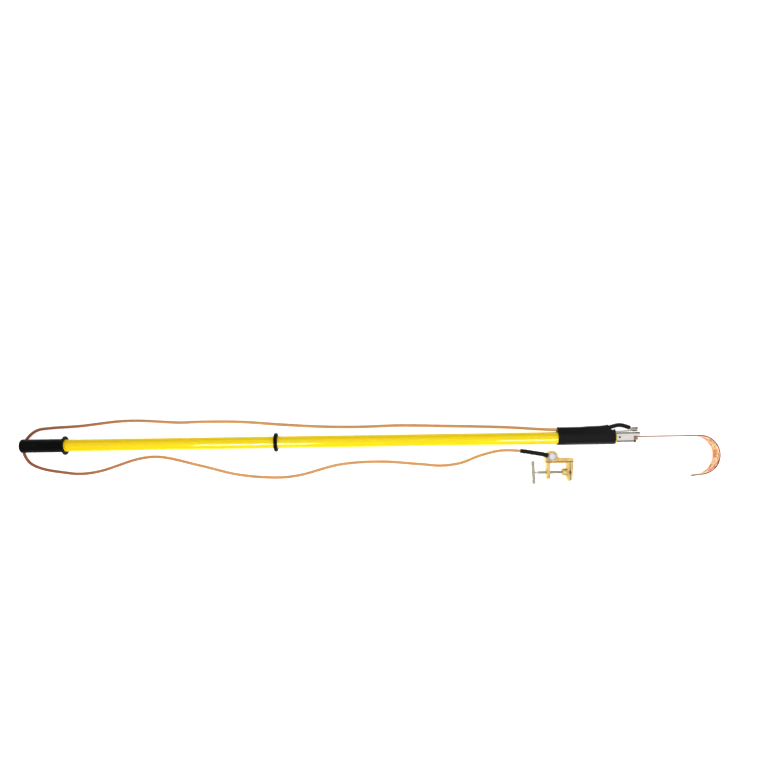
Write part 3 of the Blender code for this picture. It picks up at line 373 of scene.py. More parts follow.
# Painted shade: the jaws' notch is painted near black and made less metallic.
BRASS.set(
    base_color=blend(BRASS, in_notch, brass_with_painted_shade, linear(8, 5, 3)),
    metallic=0.9 - in_notch * 0.7,
    roughness=0.36 + patina * 0.16 + scratches * 0.12,
    normal=bump(BRASS, grain + scratches * -0.5, 0.32, 0.07 * MM),
)
print("brass:", len(BRASS.tree.nodes), "nodes")

# %% [markdown]
# Plated parts differ in colour and gloss, not in kind: slight blotches in the plating and fine
# scratches over them. So one recipe makes all of them, and also the tinned lugs and the rivets.

# %% Finish: plated steel, tinned copper and bright chrome


def plated(name, dark, light, roughness, relief=0.05 * MM):
    """A plated metal with slight blotches and fine scratches."""
    metal = Finish(name)
    patches = cloud(metal, 240, (1, 1, 1), 5, 0.6)
    marks = cloud(metal, 2600, (0.2, 1, 1), 4, 0.65)
    metal.set(
        base_color=blend(metal, patches, dark, light),
        metallic=1.0,
        roughness=roughness + patches * 0.14 + marks * 0.06,
        normal=bump(metal, marks, 0.2, relief),
    )
    print(name + ":", len(metal.tree.nodes), "nodes")
    return metal


SCREW_STEEL = plated("plated_screw", linear(198, 194, 180), linear(228, 224, 212), 0.32)
STEEL = plated("plated_steel", linear(182, 180, 168), linear(212, 210, 198), 0.42)
BOLT_STEEL = plated("yellow_passivated_steel", linear(140, 118, 92), linear(204, 182, 154), 0.28)
TIN = plated("tinned_copper", linear(178, 176, 172), linear(228, 226, 222), 0.24)
CHROME = plated("bright_plating", linear(226, 226, 234), linear(246, 246, 253), 0.24, 0.02 * MM)
DULL = plated("dull_aluminium", linear(70, 68, 66), linear(120, 118, 114), 0.35)

# %% [markdown]
# ## Stranded copper under a clear cover
# The lead shows its copper: bunches of fine wire laid round each other, seen through clear soft
# plastic. The pattern follows the lead, so it uses the lead's own map: U is the length in metres
# and V goes once round. Bunches climb round the lead with a lay of 45 mm, and the clear cover is
# the coat over them.

# %% Finish: the lead
LEAD = Finish("clear_covered_copper")
along_map = LEAD.node("UVMap", {"uv_map": "along"}, {})
length_on = LEAD.node("SeparateXYZ", {}, {0: along_map}, 0)
round_on = LEAD.node("SeparateXYZ", {}, {0: along_map}, 1)


def strands(count, lay):
    """A ridge for each of the strands that climb round the lead, from 0 in a gap to 1 on a strand."""
    phase = (round_on * count + length_on / lay * count) * math.pi
    wave = LEAD.node("Math", {"operation": "SINE"}, {0: phase})
    return LEAD.node("Math", {"operation": "ABSOLUTE"}, {0: wave}) ** 0.6


bunches = strands(9, 0.045)
wires = strands(54, 0.038)
# Painted shade: over the first 0.5 m from the butt the copper turns darker brown.
lead_butt_shade = step(LEAD, coordinate(LEAD, 0), BUTT, BUTT + 0.5)
mottle = cloud(LEAD, 120, (0.3, 1, 1), 4)
fresh = blend(LEAD, mottle, linear(214, 150, 92), linear(236, 182, 122))
lead_shaded_copper = blend(LEAD, mottle, linear(140, 72, 34), linear(184, 102, 52))
lead_copper_with_shade = blend(LEAD, lead_butt_shade, lead_shaded_copper, fresh)
# Painted shade: the gaps between the bunches are painted dark red-brown.
LEAD.set(
    base_color=blend(LEAD, (1 - bunches) * 0.7, lead_copper_with_shade, linear(104, 50, 24)),
    metallic=0.35,
    roughness=0.3 + (1 - wires) * 0.15,
    coat_weight=0.35,
    coat_roughness=0.15,
    normal=bump(LEAD, bunches + wires * 0.25, 0.5, 0.35 * MM),
)
print("lead:", len(LEAD.tree.nodes), "nodes")

# %% [markdown]
# The pole is filled with closed-cell foam against damp. It is cells all through, so one pattern of
# round cells gives both its colour and its relief.

# %% Finish: foam
FOAM = Finish("closed_cell_foam")
cells = FOAM.node("TexVoronoi", {"feature": "F1"}, {"Vector": place_of(FOAM), "Scale": 900})
FOAM.set(
    base_color=blend(FOAM, cells, linear(226, 206, 150), linear(170, 144, 92)),
    roughness=0.9,
    normal=bump(FOAM, cells, 0.5, 0.3 * MM),
)
print("foam:", len(FOAM.tree.nodes), "nodes")

# %% [markdown]
# ## Working by operators
# A piece is modelled as by hand: a primitive is added, faces or edges are selected in edit mode and
# extruded or resized, and modifiers are applied. These helpers select in code what a hand would
# click, by its place. Nothing may stay selected from before, because an operator acts on all of it.

# %% Selecting and working


def pick(piece):
    """Selects this piece alone, and makes it the active one."""
    bpy.ops.object.select_all(action="DESELECT")
    piece.select_set(True)
    bpy.context.view_layer.objects.active = piece


def edit(piece):
    """Goes into edit mode with the whole piece selected."""
    pick(piece)
    bpy.ops.object.mode_set(mode="EDIT")
    bpy.ops.mesh.select_mode(type="VERT")
    bpy.ops.mesh.select_all(action="SELECT")


def done():
    """Leaves edit mode."""
    bpy.ops.object.mode_set(mode="OBJECT")
    return bpy.context.object


def choose(kind, test):
    """In edit mode, selects the faces, edges or points whose middle passes the test."""
    bpy.ops.mesh.select_mode(type=kind)
    bpy.ops.mesh.select_all(action="DESELECT")
    mesh = bmesh.from_edit_mesh(bpy.context.object.data)
    for item in {"FACE": mesh.faces, "EDGE": mesh.edges, "VERT": mesh.verts}[kind]:
        points = [item] if kind == "VERT" else list(item.verts)
        middle = sum((point.co for point in points), Vector()) / len(points)
        if test(middle):
            item.select_set(True)
    bmesh.update_edit_mesh(bpy.context.object.data)


def work(piece, kind, **settings):
    """Adds a modifier, sets it and applies it."""
    pick(piece)
    bpy.ops.object.modifier_add(type=kind)
    modifier = piece.modifiers[-1]
    for key, value in settings.items():
        setattr(modifier, key, value)
    bpy.ops.object.modifier_apply(modifier=modifier.name)


def carve(piece, tool, operation="DIFFERENCE"):
    """Cuts a piece with another one, which is then thrown away."""
    work(piece, "BOOLEAN", operation=operation, object=tool, solver="EXACT")
    bpy.data.objects.remove(tool)


def ease_edges(piece, width, segments=3, angle=30):
    """Rounds every sharp edge a little, as handling and deburring do."""
    limit = math.radians(angle)
    work(piece, "BEVEL", width=width * MM, segments=segments, limit_method="ANGLE", angle_limit=limit)


print("modelling helpers ready")

# %% [markdown]
# Most pieces of this stick are turned. A turned piece starts as a circle, which is extruded along Z
# and resized ring by ring, and is then laid along its axis. A bored piece goes out along its skin and
# back through its bore, until its last ring meets the first one.

# %% Turned pieces
ALONG_X = (0, math.pi / 2, 0)
ALONG_Y = (-math.pi / 2, 0, 0)
ALONG_MINUS_Y = (math.pi / 2, 0, 0)
UPRIGHT = (0, 0, 0)
UPSIDE_DOWN = (math.pi, 0, 0)


def turned(name, rings, at, turn=ALONG_X, bored=False, sides=96):
    """A turned piece from its rings, each a height along the axis and a radius, in millimetres."""
    (height, radius), *others = [(along * MM, size * MM) for along, size in rings]
    bpy.ops.object.select_all(action="DESELECT")
    fill = "NOTHING" if bored else "NGON"
    bpy.ops.mesh.primitive_circle_add(vertices=sides, radius=radius, fill_type=fill)
    piece = bpy.context.object
    piece.name = name
    edit(piece)
    bpy.ops.transform.translate(value=(0, 0, height))
    for there, size in others:
        bpy.ops.mesh.extrude_region_move(TRANSFORM_OT_translate={"value": (0, 0, there - height)})
        if size != radius:
            share = size / radius
            bpy.ops.transform.resize(value=(share, share, 1), center_override=(0, 0, there))
        height, radius = there, size
    bpy.ops.mesh.select_all(action="SELECT")
    if bored:
        bpy.ops.mesh.remove_doubles(threshold=0.01 * MM)
    bpy.ops.mesh.normals_make_consistent(inside=False)
    done()
    piece.rotation_euler = turn
    piece.location = at
    return piece


def eased(corners, steps=5):
    """Rings from corners (height, radius, ease), each rounded off over its ease."""
    rings = []
    for index, (height, radius, ease) in enumerate(corners):
        here = Vector((height, radius))
        if ease == 0:
            rings.append(tuple(here))
            continue
        before = Vector(corners[index - 1][:2]) - here
        after = Vector(corners[(index + 1) % len(corners)][:2]) - here
        start = here + before.normalized() * ease
        end = here + after.normalized() * ease
        for part in range(steps + 1):
            t = part / steps
            rings.append(tuple(start * (1 - t) ** 2 + here * (2 * t * (1 - t)) + end * t * t))
    return rings


def drill(piece, radius, low, high, at, turn=UPRIGHT, sides=48):
    """Bores a round hole through a piece."""
    carve(piece, turned("drill", [(low, radius), (high, radius)], at, turn, sides=sides))


print("turning helpers ready")

# %% [markdown]
# A finished piece has its place in its mesh, its object at the origin, a smooth skin with crisp
# edges, one finish, and a body to ride on. Its normals are weighted by area, so that a flat face
# stays flat to the light and only its rounded edges turn. Where the piece stands for a solid of the
# frame, that solid is hidden.

# %% Dressing a finished piece


def dress(piece, finish, body, *nodes, angle=35):
    """Puts a piece in its place for good, gives it its finish and lets it ride on its body."""
    pick(piece)
    bpy.ops.object.transform_apply(location=True, rotation=True, scale=True)
    bpy.ops.object.shade_smooth_by_angle(angle=math.radians(angle))
    work(piece, "WEIGHTED_NORMAL", keep_sharp=True)
    piece.data.materials.clear()
    piece.data.materials.append(finish.material)
    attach(piece, body)
    if nodes:
        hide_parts(*nodes)
    print(piece.name, "has", len(piece.data.polygons), "faces and rides on", body)
    return piece


def copy_of(node, name, ease):
    """A copy of a solid of the frame: its loose triangles merged to whole faces, its edges eased."""
    piece = bpy.data.objects.new(name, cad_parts[node].data.copy())
    bpy.context.scene.collection.objects.link(piece)
    edit(piece)
    bpy.ops.mesh.remove_doubles(threshold=0.02 * MM)
    bpy.ops.mesh.dissolve_limited(angle_limit=math.radians(1.5))
    done()
    ease_edges(piece, ease)
    return piece


def keep(node, finish):
    """A solid whose shape is right already stays, and only gets its finish."""
    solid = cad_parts[node]
    solid.data.materials.clear()
    solid.data.materials.append(finish.material)
    print(node, "is kept as it is")


# %% [markdown]
# ## The lead
# The lead is 2.9 m of stranded copper under a clear cover. It lies on the floor in a long loose
# bow round the butt, and climbs to the hook at one end and to the clamp at the other. Its route is
# given point by point, and one smooth curve runs through the points.

# %% The lead's route, in metres
LEAD_ROUTE = (
    (0.6422, 0.0536, 0.0236), (0.6389, 0.0548, 0.0236), (0.6325, 0.0565, 0.0236),
    (0.6255, 0.0572, 0.0236), (0.6185, 0.0567, 0.0236), (0.6105, 0.0547, 0.0236),
    (0.5995, 0.0517, 0.0236), (0.5860, 0.0493, 0.0236), (0.5710, 0.0482, 0.0236),
    (0.5430, 0.0478, 0.0236), (0.5070, 0.0477, 0.0236), (0.4695, 0.0479, 0.0236),
    (0.4280, 0.0501, 0.0196), (0.3790, 0.0541, 0.0096), (0.3300, 0.0571, 0.0044),
    (0.2800, 0.0591, 0.0038), (0.1790, 0.0623, 0.0038), (0.0770, 0.0651, 0.0038),
    (-0.0230, 0.0631, 0.0038), (-0.1240, 0.0653, 0.0038), (-0.2260, 0.0721, 0.0038),
    (-0.3270, 0.0801, 0.0038), (-0.4280, 0.0817, 0.0038), (-0.4780, 0.0806, 0.0038),
    (-0.5790, 0.0867, 0.0038), (-0.6300, 0.0861, 0.0038), (-0.7310, 0.0757, 0.0038),
    (-0.8070, 0.0715, 0.0038), (-0.8380, 0.0671, 0.0038), (-0.8580, 0.0543, 0.0038),
    (-0.8724, 0.0337, 0.0038), (-0.8742, 0.0107, 0.0038), (-0.8594, -0.0149, 0.0038),
    (-0.8290, -0.0303, 0.0038), (-0.7690, -0.0416, 0.0038), (-0.7330, -0.0452, 0.0038),
    (-0.6820, -0.0391, 0.0038), (-0.5810, -0.0089, 0.0038), (-0.5300, -0.0055, 0.0038),
    (-0.4290, -0.0287, 0.0038), (-0.3290, -0.0537, 0.0038), (-0.2280, -0.0619, 0.0038),
    (-0.1770, -0.0567, 0.0038), (-0.0760, -0.0315, 0.0038), (0.0260, -0.0257, 0.0038),
    (0.1270, -0.0335, 0.0038), (0.1810, -0.0381, 0.0038), (0.2290, -0.0323, 0.0038),
    (0.2790, -0.0142, 0.0058), (0.3290, -0.0025, 0.0116), (0.3780, -0.0037, 0.0184),
    (0.4140, -0.0095, 0.0230), (0.4301, -0.0122, 0.0256), (0.4335, -0.0131, 0.0256),
)
LEAD_WIDTH = 7.6 * MM
print("route points:", len(LEAD_ROUTE))

# %% A smooth curve through the points
CURVE_STEPS = 24


def slope_between(before, here, after, times):
    """The curve's slope at a point, from its two neighbours and the times between them."""
    back = times[1] - times[0]
    ahead = times[2] - times[1]
    return (here - before) / back - (after - before) / (back + ahead) + (after - here) / ahead


def smooth_line(points, steps=CURVE_STEPS):
    """Fine points on a smooth curve that passes through all of the given ones."""
    line = [points[0] * 2 - points[1], *points, points[-1] * 2 - points[-2]]
    fine = []
    for before, here, there, after in zip(line, line[1:], line[2:], line[3:]):
        times = [0.0]
        for one, other in ((before, here), (here, there), (there, after)):
            times.append(times[-1] + (other - one).length ** 0.5)
        leave = slope_between(before, here, there, times[0:3]) * (times[2] - times[1])
        arrive = slope_between(here, there, after, times[1:4]) * (times[2] - times[1])
        for part in range(steps):
            t = part / steps
            at_here = 2 * t ** 3 - 3 * t ** 2 + 1
            fine.append(
                here * at_here + leave * (t ** 3 - 2 * t ** 2 + t)
                + there * (1 - at_here) + arrive * (t ** 3 - t ** 2)
            )
    return [*fine, points[-1]]


LEAD_LINE = smooth_line([Vector(point) for point in LEAD_ROUTE])
LEAD_LENGTH = sum((b - a).length for a, b in zip(LEAD_LINE, LEAD_LINE[1:]))
print("lead length", round(LEAD_LENGTH, 3), "m")

# %% [markdown]
# A cord is swept: a ring of points is set square to the line at each of its points, and neighbouring
# rings are joined. Each face also notes how far along the lead it is and how far round, which is
# what its strands are drawn by. The ends are closed.

# %% Sweeping a round skin along a line


def sweep(name, line, radius, sides=20, closed=True):
    """A skin round a line. The radius is a function of the length along it and the angle."""
    skin = bmesh.new()
    map_layer = skin.loops.layers.uv.new("along")
    rings = []
    lengths = []
    length = 0.0
    for index, point in enumerate(line):
        ahead = line[min(index + 1, len(line) - 1)] - line[max(index - 1, 0)]
        side = ahead.cross(Vector((0, 0, 1))).normalized()
        up = side.cross(ahead).normalized()
        if index:
            length += (point - line[index - 1]).length
        lengths.append(length)
        ring = []
        for part in range(sides):
            angle = math.tau * part / sides
            out = side * math.cos(angle) + up * math.sin(angle)
            ring.append(skin.verts.new(point + out * radius(length, angle)))
        rings.append(ring)
    for index, (one, other) in enumerate(zip(rings, rings[1:])):
        for part in range(sides):
            after = (part + 1) % sides
            face = skin.faces.new((one[part], other[part], other[after], one[after]))
            corners = ((0, 0), (1, 0), (1, 1), (0, 1))
            for loop, (on, turn) in zip(face.loops, corners):
                loop[map_layer].uv = (lengths[index + on], (part + turn) / sides)
    if closed:
        skin.faces.new(rings[0])
        skin.faces.new(list(reversed(rings[-1])))
    bmesh.ops.recalc_face_normals(skin, faces=skin.faces)
    mesh = bpy.data.meshes.new(name)
    skin.to_mesh(mesh)
    skin.free()
    piece = bpy.data.objects.new(name, mesh)
    bpy.context.scene.collection.objects.link(piece)
    return piece


copper_lead = sweep("copper_lead", LEAD_LINE, lambda length, angle: LEAD_WIDTH / 2)
dress(copper_lead, LEAD, "stick", "earth_lead", angle=60)

# %% [markdown]
# ## The sleeves
# A sleeve of black plastic covers each end of the lead and half of its lug's barrel. At the hook
# it is shrunk tight. At the clamp it is a softer, slipped-on tube that has been bent and pushed
# together, so it is wrinkled all round. Both are thin skins with a wall, open at their ends.

# %% Sleeves
SLEEVE_RADIUS = 5.3 * MM
SLEEVE_WALL = 0.85 * MM
ON_BARREL = 10.0 * MM
SLEEVE_BEGINS = 1422.0
ON_NECK = 11.4 * MM
CLAMP_SLEEVE_LENGTH = 68 * MM


def part_of(line, length):
    """The stretch of a line that starts at its first point and has this length."""
    part = [line[0]]
    for point in line[1:]:
        length -= (point - part[-1]).length
        if length < 0:
            break
        part.append(point)
    return part


def wrinkled(length, angle):
    """A loose sleeve that is folded in soft rings, bulges here and there, and ends in a flat flare."""
    fold = math.sin(length / (2.1 * MM) + math.sin(angle + length / (8 * MM)) * 1.8)
    lump = noise.noise(Vector((length / (7 * MM), math.cos(angle), math.sin(angle))))
    flare = max(1 - length / (7 * MM), 0) ** 1.5 * math.cos(angle) ** 2 * 0.9 * MM
    return SLEEVE_RADIUS + 0.2 * MM + fold * 0.16 * MM + lump * 0.55 * MM + flare


def shrunk(length, angle):
    """A sleeve that is nearly round, with shallow dents."""
    lump = noise.noise(Vector((length / (11 * MM), math.cos(angle), math.sin(angle))))
    return SLEEVE_RADIUS - 0.1 * MM + lump * 0.22 * MM


def sleeve(name, line, on_barrel, radius, node):
    """A sleeve along a line that is lengthened straight over the lug's barrel."""
    outward = (line[0] - line[1]).normalized()
    over = [line[0] + outward * on_barrel * (1 - part / 10) for part in range(10)]
    piece = sweep(name, [*over, *line], radius, 40, closed=False)
    work(piece, "SOLIDIFY", thickness=SLEEVE_WALL, offset=-1)
    ease_edges(piece, 0.2, 2, 60)
    return dress(piece, SHRINK, "stick", node, angle=60)


head_line = [point for point in LEAD_LINE[:16 * CURVE_STEPS] if point.x > spot(SLEEVE_BEGINS).x]
head_sleeve = sleeve("head_sleeve", head_line, ON_BARREL, shrunk, "head_lug_sleeve")
back_line = part_of(LEAD_LINE[::-1], CLAMP_SLEEVE_LENGTH - ON_BARREL)
clamp_sleeve = sleeve("clamp_sleeve", back_line, ON_NECK, wrinkled, "clamp_lug_sleeve")

# %% [markdown]
# ## The pole
# The tube is turned as a bored piece, with the two rivet holes at its head. The foam that fills
# such a tube is kept as the frame has it, since only its end could ever be seen.

# %% Tube and foam
TUBE_RADIUS = 15.0
TUBE_END = 1523.0
BORE = 12.0
rings = eased([(2.3, BORE, 0), (2.3, TUBE_RADIUS, 0.5), (TUBE_END, TUBE_RADIUS, 0.8), (TUBE_END, BORE, 0)])
yellow_tube = turned("yellow_tube", [*rings, rings[0]], spot(0), ALONG_X, bored=True)
RIVET_STATION = 1489.5
for way in (UPRIGHT, UPSIDE_DOWN):
    drill(yellow_tube, 2.7, 8, 20, spot(RIVET_STATION), way)
dress(yellow_tube, YELLOW, "stick", "pole_tube")
keep("foam_core", FOAM)

# %% [markdown]
# ## The grip
# The grip is a vinyl glove dipped over the pole's butt. It is thickest at its closed end, where the
# vinyl pooled, and it flares into a flange that keeps the hand back. Three faint rings stand before
# the flange, where the vinyl crept together when the grip was pushed on.

# %% Grip
ribs = []
for middle in (70.0, 77.5, 85.0):
    ribs += [(middle - 1.3, 16.6, 0.4), (middle, 16.9, 0.6), (middle + 1.3, 16.6, 0.4)]
outline = eased([
    (0, 1.0, 0),
    (0, 17.3, 3.0),
    (9, 17.3, 2.4),
    (13, 16.6, 2.4),
    *ribs,
    (99.5, 16.6, 5.0),
    (107.5, 18.6, 2.2),
    (107.5, 23.6, 1.1),
    (110.5, 23.6, 1.1),
    (110.5, 15.3, 0),
    (2.0, 15.3, 0.5),
    (2.0, 1.0, 0),
])
vinyl_grip = turned("vinyl_grip", outline, spot(0))
dress(vinyl_grip, VINYL, "stick", "hand_grip", angle=50)

# %% [markdown]
# ## The guard ring
# A ring of moulded rubber, pushed along the pole, with a rounded rim and a fine parting line left
# by its mould.

# %% Guard ring
RING_AT = 636.0
rings = eased([
    (-4.5, 15.3, 0),
    (-4.5, 19.5, 1.0),
    (-3.6, 23.2, 2.2),
    (-0.5, 23.5, 0),
    (-0.25, 23.6, 0),
    (0.25, 23.6, 0),
    (0.5, 23.5, 0),
    (3.6, 23.2, 2.2),
    (4.5, 19.5, 1.0),
    (4.5, 15.3, 0),
])
rubber_ring = turned("rubber_ring", [*rings, rings[0]], spot(RING_AT), ALONG_X, bored=True)
dress(rubber_ring, RUBBER, "stick", "guard_ring", angle=50)

# %% [markdown]
# ## The boot
# The boot is wide shrink tube that was slipped over the pole and the lead together and heated. It
# settles on both like a belt on two pulleys, with a small round lobe over the lead, and swells
# where the lead's own sleeve begins. It is lofted: one belt outline after another along the pole.

# %% Boot
BOOT_START = 1338.5
BOOT_END = 1480.6
BOOT_SKIN = 1.2
BOOT_RADIUS = 15.3 + BOOT_SKIN
BOOT_ROWS = 96
BELT_PARTS = 24


def lead_side(station):
    """How far the lead's middle is from the pole's axis at a station of the head's stretch."""
    head = LEAD_LINE[:16 * CURVE_STEPS]
    nearest = min(head, key=lambda point: abs(point.x - spot(station).x))
    return (nearest.y - POLE.y) / MM


def belt(big, small, apart):
    """The outline of a belt round a big circle and a small one, as heights and sides."""
    lean = math.asin((big - small) / apart)
    points = []
    for part in range(BELT_PARTS + 1):
        angle = lean + (math.pi - 2 * lean) * part / BELT_PARTS
        points.append((small * math.cos(angle), apart + small * math.sin(angle)))
    for part in range(BELT_PARTS * 2 + 1):
        angle = math.pi - lean + (math.pi + 2 * lean) * part / (BELT_PARTS * 2)
        points.append((big * math.cos(angle), big * math.sin(angle)))
    return points


def boot_skin():
    """The boot's outer skin, row by row."""
    skin = bmesh.new()
    rows = []
    for row in range(BOOT_ROWS + 1):
        station = BOOT_START + (BOOT_END - BOOT_START) * row / BOOT_ROWS
        share = min(max(1 - (SLEEVE_BEGINS - 5 - station) / 20, 0), 1)
        lobe = 5.3 + share * share * (3 - 2 * share) * 1.5
        ring = []
        for height, side in belt(BOOT_RADIUS, lobe, lead_side(station)):
            ripple = noise.noise(Vector((station / 6, side / 9, height / 9))) * 0.12
            pull = 1 + ripple / BOOT_RADIUS
            ring.append(skin.verts.new(spot(station, side * pull, height * pull)))
        rows.append(ring)
    for one, other in zip(rows, rows[1:]):
        for part in range(len(one)):
            after = (part + 1) % len(one)
            skin.faces.new((one[part], one[after], other[after], other[part]))
    bmesh.ops.recalc_face_normals(skin, faces=skin.faces)
    mesh = bpy.data.meshes.new("shrink_boot")
    skin.to_mesh(mesh)
    skin.free()
    piece = bpy.data.objects.new("shrink_boot", mesh)
    bpy.context.scene.collection.objects.link(piece)
    return piece


shrink_boot = boot_skin()
print("boot rows:", BOOT_ROWS, "points a row:", len(belt(BOOT_RADIUS, 5.3, 21)))

# %% [markdown]
# The skin so far has no thickness. It is given its wall inwards, and the boot's mouth is cut at a
# slant on the lead's side, as a knife leaves it, by taking away a turned block.

# %% Boot wall and slanted mouth
work(shrink_boot, "SOLIDIFY", thickness=BOOT_SKIN * MM, offset=-1)
bpy.ops.object.select_all(action="DESELECT")
bpy.ops.mesh.primitive_cube_add(size=40 * MM, location=(20 * MM, 20 * MM, 0))
slant = bpy.context.object
pick(slant)
bpy.ops.object.transform_apply(location=True)
slant.scale = (1, 1, 1.5)
slant.rotation_euler = (0, 0, math.radians(24))
slant.location = spot(BOOT_END - 9, BOOT_RADIUS + 0.3)
carve(shrink_boot, slant)
dress(shrink_boot, SHRINK, "stick", "heat_shrink_boot", angle=50)

# %% [markdown]
# ## The ferrule
# The ferrule is an aluminium socket over the pole's end. Beyond the pole, half of it is sawn away,
# which leaves a half-round tongue with a flat face for the hook's strip. It is turned, and then cut
# with the same four cuts as the real one: the half, two rounded corners, the bolt's hole.

# %% Ferrule
FERRULE_START = 1483.0
TONGUE_START = 1524.3
TONGUE_END = 1541.0
FERRULE_RADIUS = 17.0
SEAT = 2.8
BOLT_AT = 1533.0
rings = eased([
    (FERRULE_START, 15.3, 0.4),
    (FERRULE_START, FERRULE_RADIUS, 0.7),
    (TONGUE_END, FERRULE_RADIUS, 0),
    (TONGUE_END, 15.3, 0),
])
socket = turned("ferrule_socket", [*rings, rings[0]], spot(0), ALONG_X, bored=True)
bpy.ops.object.select_all(action="DESELECT")
middle = spot((TONGUE_START + 1560) / 2, (SEAT - 40) / 2)
bpy.ops.mesh.primitive_cube_add(size=1, location=middle, scale=((1560 - TONGUE_START) * MM, (SEAT + 40) * MM, 0.08))
carve(socket, bpy.context.object)
for way in (-1, 1):
    drill(socket, 3.2, 0, 30, spot(TONGUE_END + 0.8, 0, way * FERRULE_RADIUS), ALONG_Y)
drill(socket, 4.3, 0, 30, spot(BOLT_AT), ALONG_Y)
for way in (UPRIGHT, UPSIDE_DOWN):
    drill(socket, 2.7, 8, 20, spot(RIVET_STATION), way)
ease_edges(socket, 0.25, 2, 40)
dress(socket, ALUMINIUM, "stick", "head_ferrule")

# %% [markdown]
# ## The rivets
# Two hollow rivets pin the ferrule to the pole. From above only a dark hole with a thin rim shows.
# One is modelled, and the other is its copy on the far side.

# %% Rivets
rivet_rings = eased([
    (12.3, 2.0, 0),
    (12.3, 2.4, 0.1),
    (17.2, 2.4, 0.3),
    (17.2, 1.3, 0.2),
    (14.6, 1.3, 0),
    (14.6, 0.2, 0),
], 3)
for name, way in (("rivet_top", UPRIGHT), ("rivet_bottom", UPSIDE_DOWN)):
    rivet = turned("hollow_" + name, rivet_rings, spot(RIVET_STATION), way, sides=48)
    dress(rivet, DULL, "stick", "ferrule_" + name)

# %% [markdown]
# ## The hook
# The hook is one copper strip, 38 mm wide and 3 mm thick, bent flat to a half circle and drawn in
# to a narrow round tip. It starts as a block of the straight stretch. Its end face is spun round
# the bend, extruded along the tip, and each section near the tip is made narrower.

# %% Hook strip
STRIP_START = 1525.0
BEND_AT = 1688.0
HOOK_MIDDLE = -47.5
STRIP_FACE = 2.5
STRIP_THICK = 3.0
STRIP_WIDE = 38.0
SWEEP = math.radians(173)
TIP_RUN = 23.0
TIP_WIDE = 14.0
TAPER = 66.0
SPIN_STEPS = 60
bpy.ops.object.select_all(action="DESELECT")
middle = spot((STRIP_START + BEND_AT) / 2, STRIP_FACE - STRIP_THICK / 2)
size = ((BEND_AT - STRIP_START) * MM, STRIP_THICK * MM, STRIP_WIDE * MM)
bpy.ops.mesh.primitive_cube_add(size=1, location=middle, scale=size)
copper_hook = bpy.context.object
copper_hook.name = "copper_hook"
bpy.ops.object.transform_apply(location=True, scale=True)
edit(copper_hook)
choose("FACE", lambda point: point.x > spot(BEND_AT).x - 0.1 * MM)
bend = spot(BEND_AT, HOOK_MIDDLE)
bpy.ops.mesh.spin(steps=SPIN_STEPS, angle=-SWEEP, center=bend, axis=(0, 0, -1))
onward = Vector((math.cos(SWEEP), -math.sin(SWEEP), 0)) * TIP_RUN / 12 * MM
for part in range(12):
    bpy.ops.mesh.extrude_region_move(TRANSFORM_OT_translate={"value": onward})
print("hook reaches", round(max(v.co.x for v in bmesh.from_edit_mesh(copper_hook.data).verts), 4))

# %% [markdown]
# The strip narrows over its last 66 mm and ends round. Every point there is moved towards the
# strip's middle line by a share that depends only on how far it is from the tip, so both edges
# stay fair.

# %% Drawing in the tip
MIDDLE_RADIUS = 48.5


def left_to_tip(point):
    """How far a point of the strip's far end is from the tip, along the strip, in millimetres."""
    away = (point - bend) / MM
    past = away.x * math.cos(SWEEP) - away.y * math.sin(SWEEP)
    if away.y < 0 and past > 0.01:
        return TIP_RUN - past
    turn = math.atan2(away.x, away.y) if away.x > 0 else 0
    return TIP_RUN + (SWEEP - turn) * MIDDLE_RADIUS


def tip_width(left):
    """The strip's width at a distance from its tip, with a rounded end."""
    left = max(left, 0)
    share = min(left / TAPER, 1)
    width = TIP_WIDE + (STRIP_WIDE - TIP_WIDE) * share * share * (3 - 2 * share)
    if left < 5:
        width -= 10 * (1 - math.sqrt(1 - (1 - left / 5) ** 2))
    return max(width, TIP_WIDE * 0.3)


mesh = bmesh.from_edit_mesh(copper_hook.data)
for vert in mesh.verts:
    left = left_to_tip(vert.co)
    if left < TAPER:
        vert.co.z = POLE.z + (vert.co.z - POLE.z) * tip_width(left) / STRIP_WIDE
bmesh.update_edit_mesh(copper_hook.data)
bpy.ops.mesh.select_all(action="SELECT")
bpy.ops.mesh.normals_make_consistent(inside=False)
done()
drill(copper_hook, 4.3, -20, 20, spot(BOLT_AT), ALONG_Y)
ease_edges(copper_hook, 0.6, 3, 40)
dress(copper_hook, COPPER, "stick", "hook_strip")

# %% [markdown]
# The strip's long edges were sheared and never polished, so they are darker than its faces. A number
# on every face, 1 on the sheared edges, tells the finish where they are.

# %% Sheared edges
sheared_marks = copper_hook.data.attributes.new("sheared", "FLOAT", "FACE")
for face in copper_hook.data.polygons:
    sheared_marks.data[face.index].value = float(abs(face.normal.z) > 0.6)
print("sheared faces:", sum(1 for mark in sheared_marks.data if mark.value))

# %% [markdown]
# ## Bolt and nut
# A hexagon bolt goes down through the lug, the tongue and the strip. A real hexagon's corners are
# turned off at 30 degrees, so the six-sided prism is intersected with a turned blank. The thread is
# a small three-sided profile on a screw path, joined to the shank.

# %% Hexagons and threads
BLANK_SHARE = 0.47


def hexagon(name, flats, low, high, at, turn):
    """A bolt's head or a nut: a six-sided prism whose corners are turned off at both ends."""
    corner = flats / math.sqrt(3)
    flat = flats * BLANK_SHARE
    slope = (corner - flat) * math.tan(math.radians(30))
    prism = turned(name, [(low, corner), (high, corner)], at, turn, sides=6)
    blank = [(low, flat), (low + slope, corner), (high - slope, corner), (high, flat)]
    carve(prism, turned("blank", blank, at, turn), "INTERSECT")
    return prism


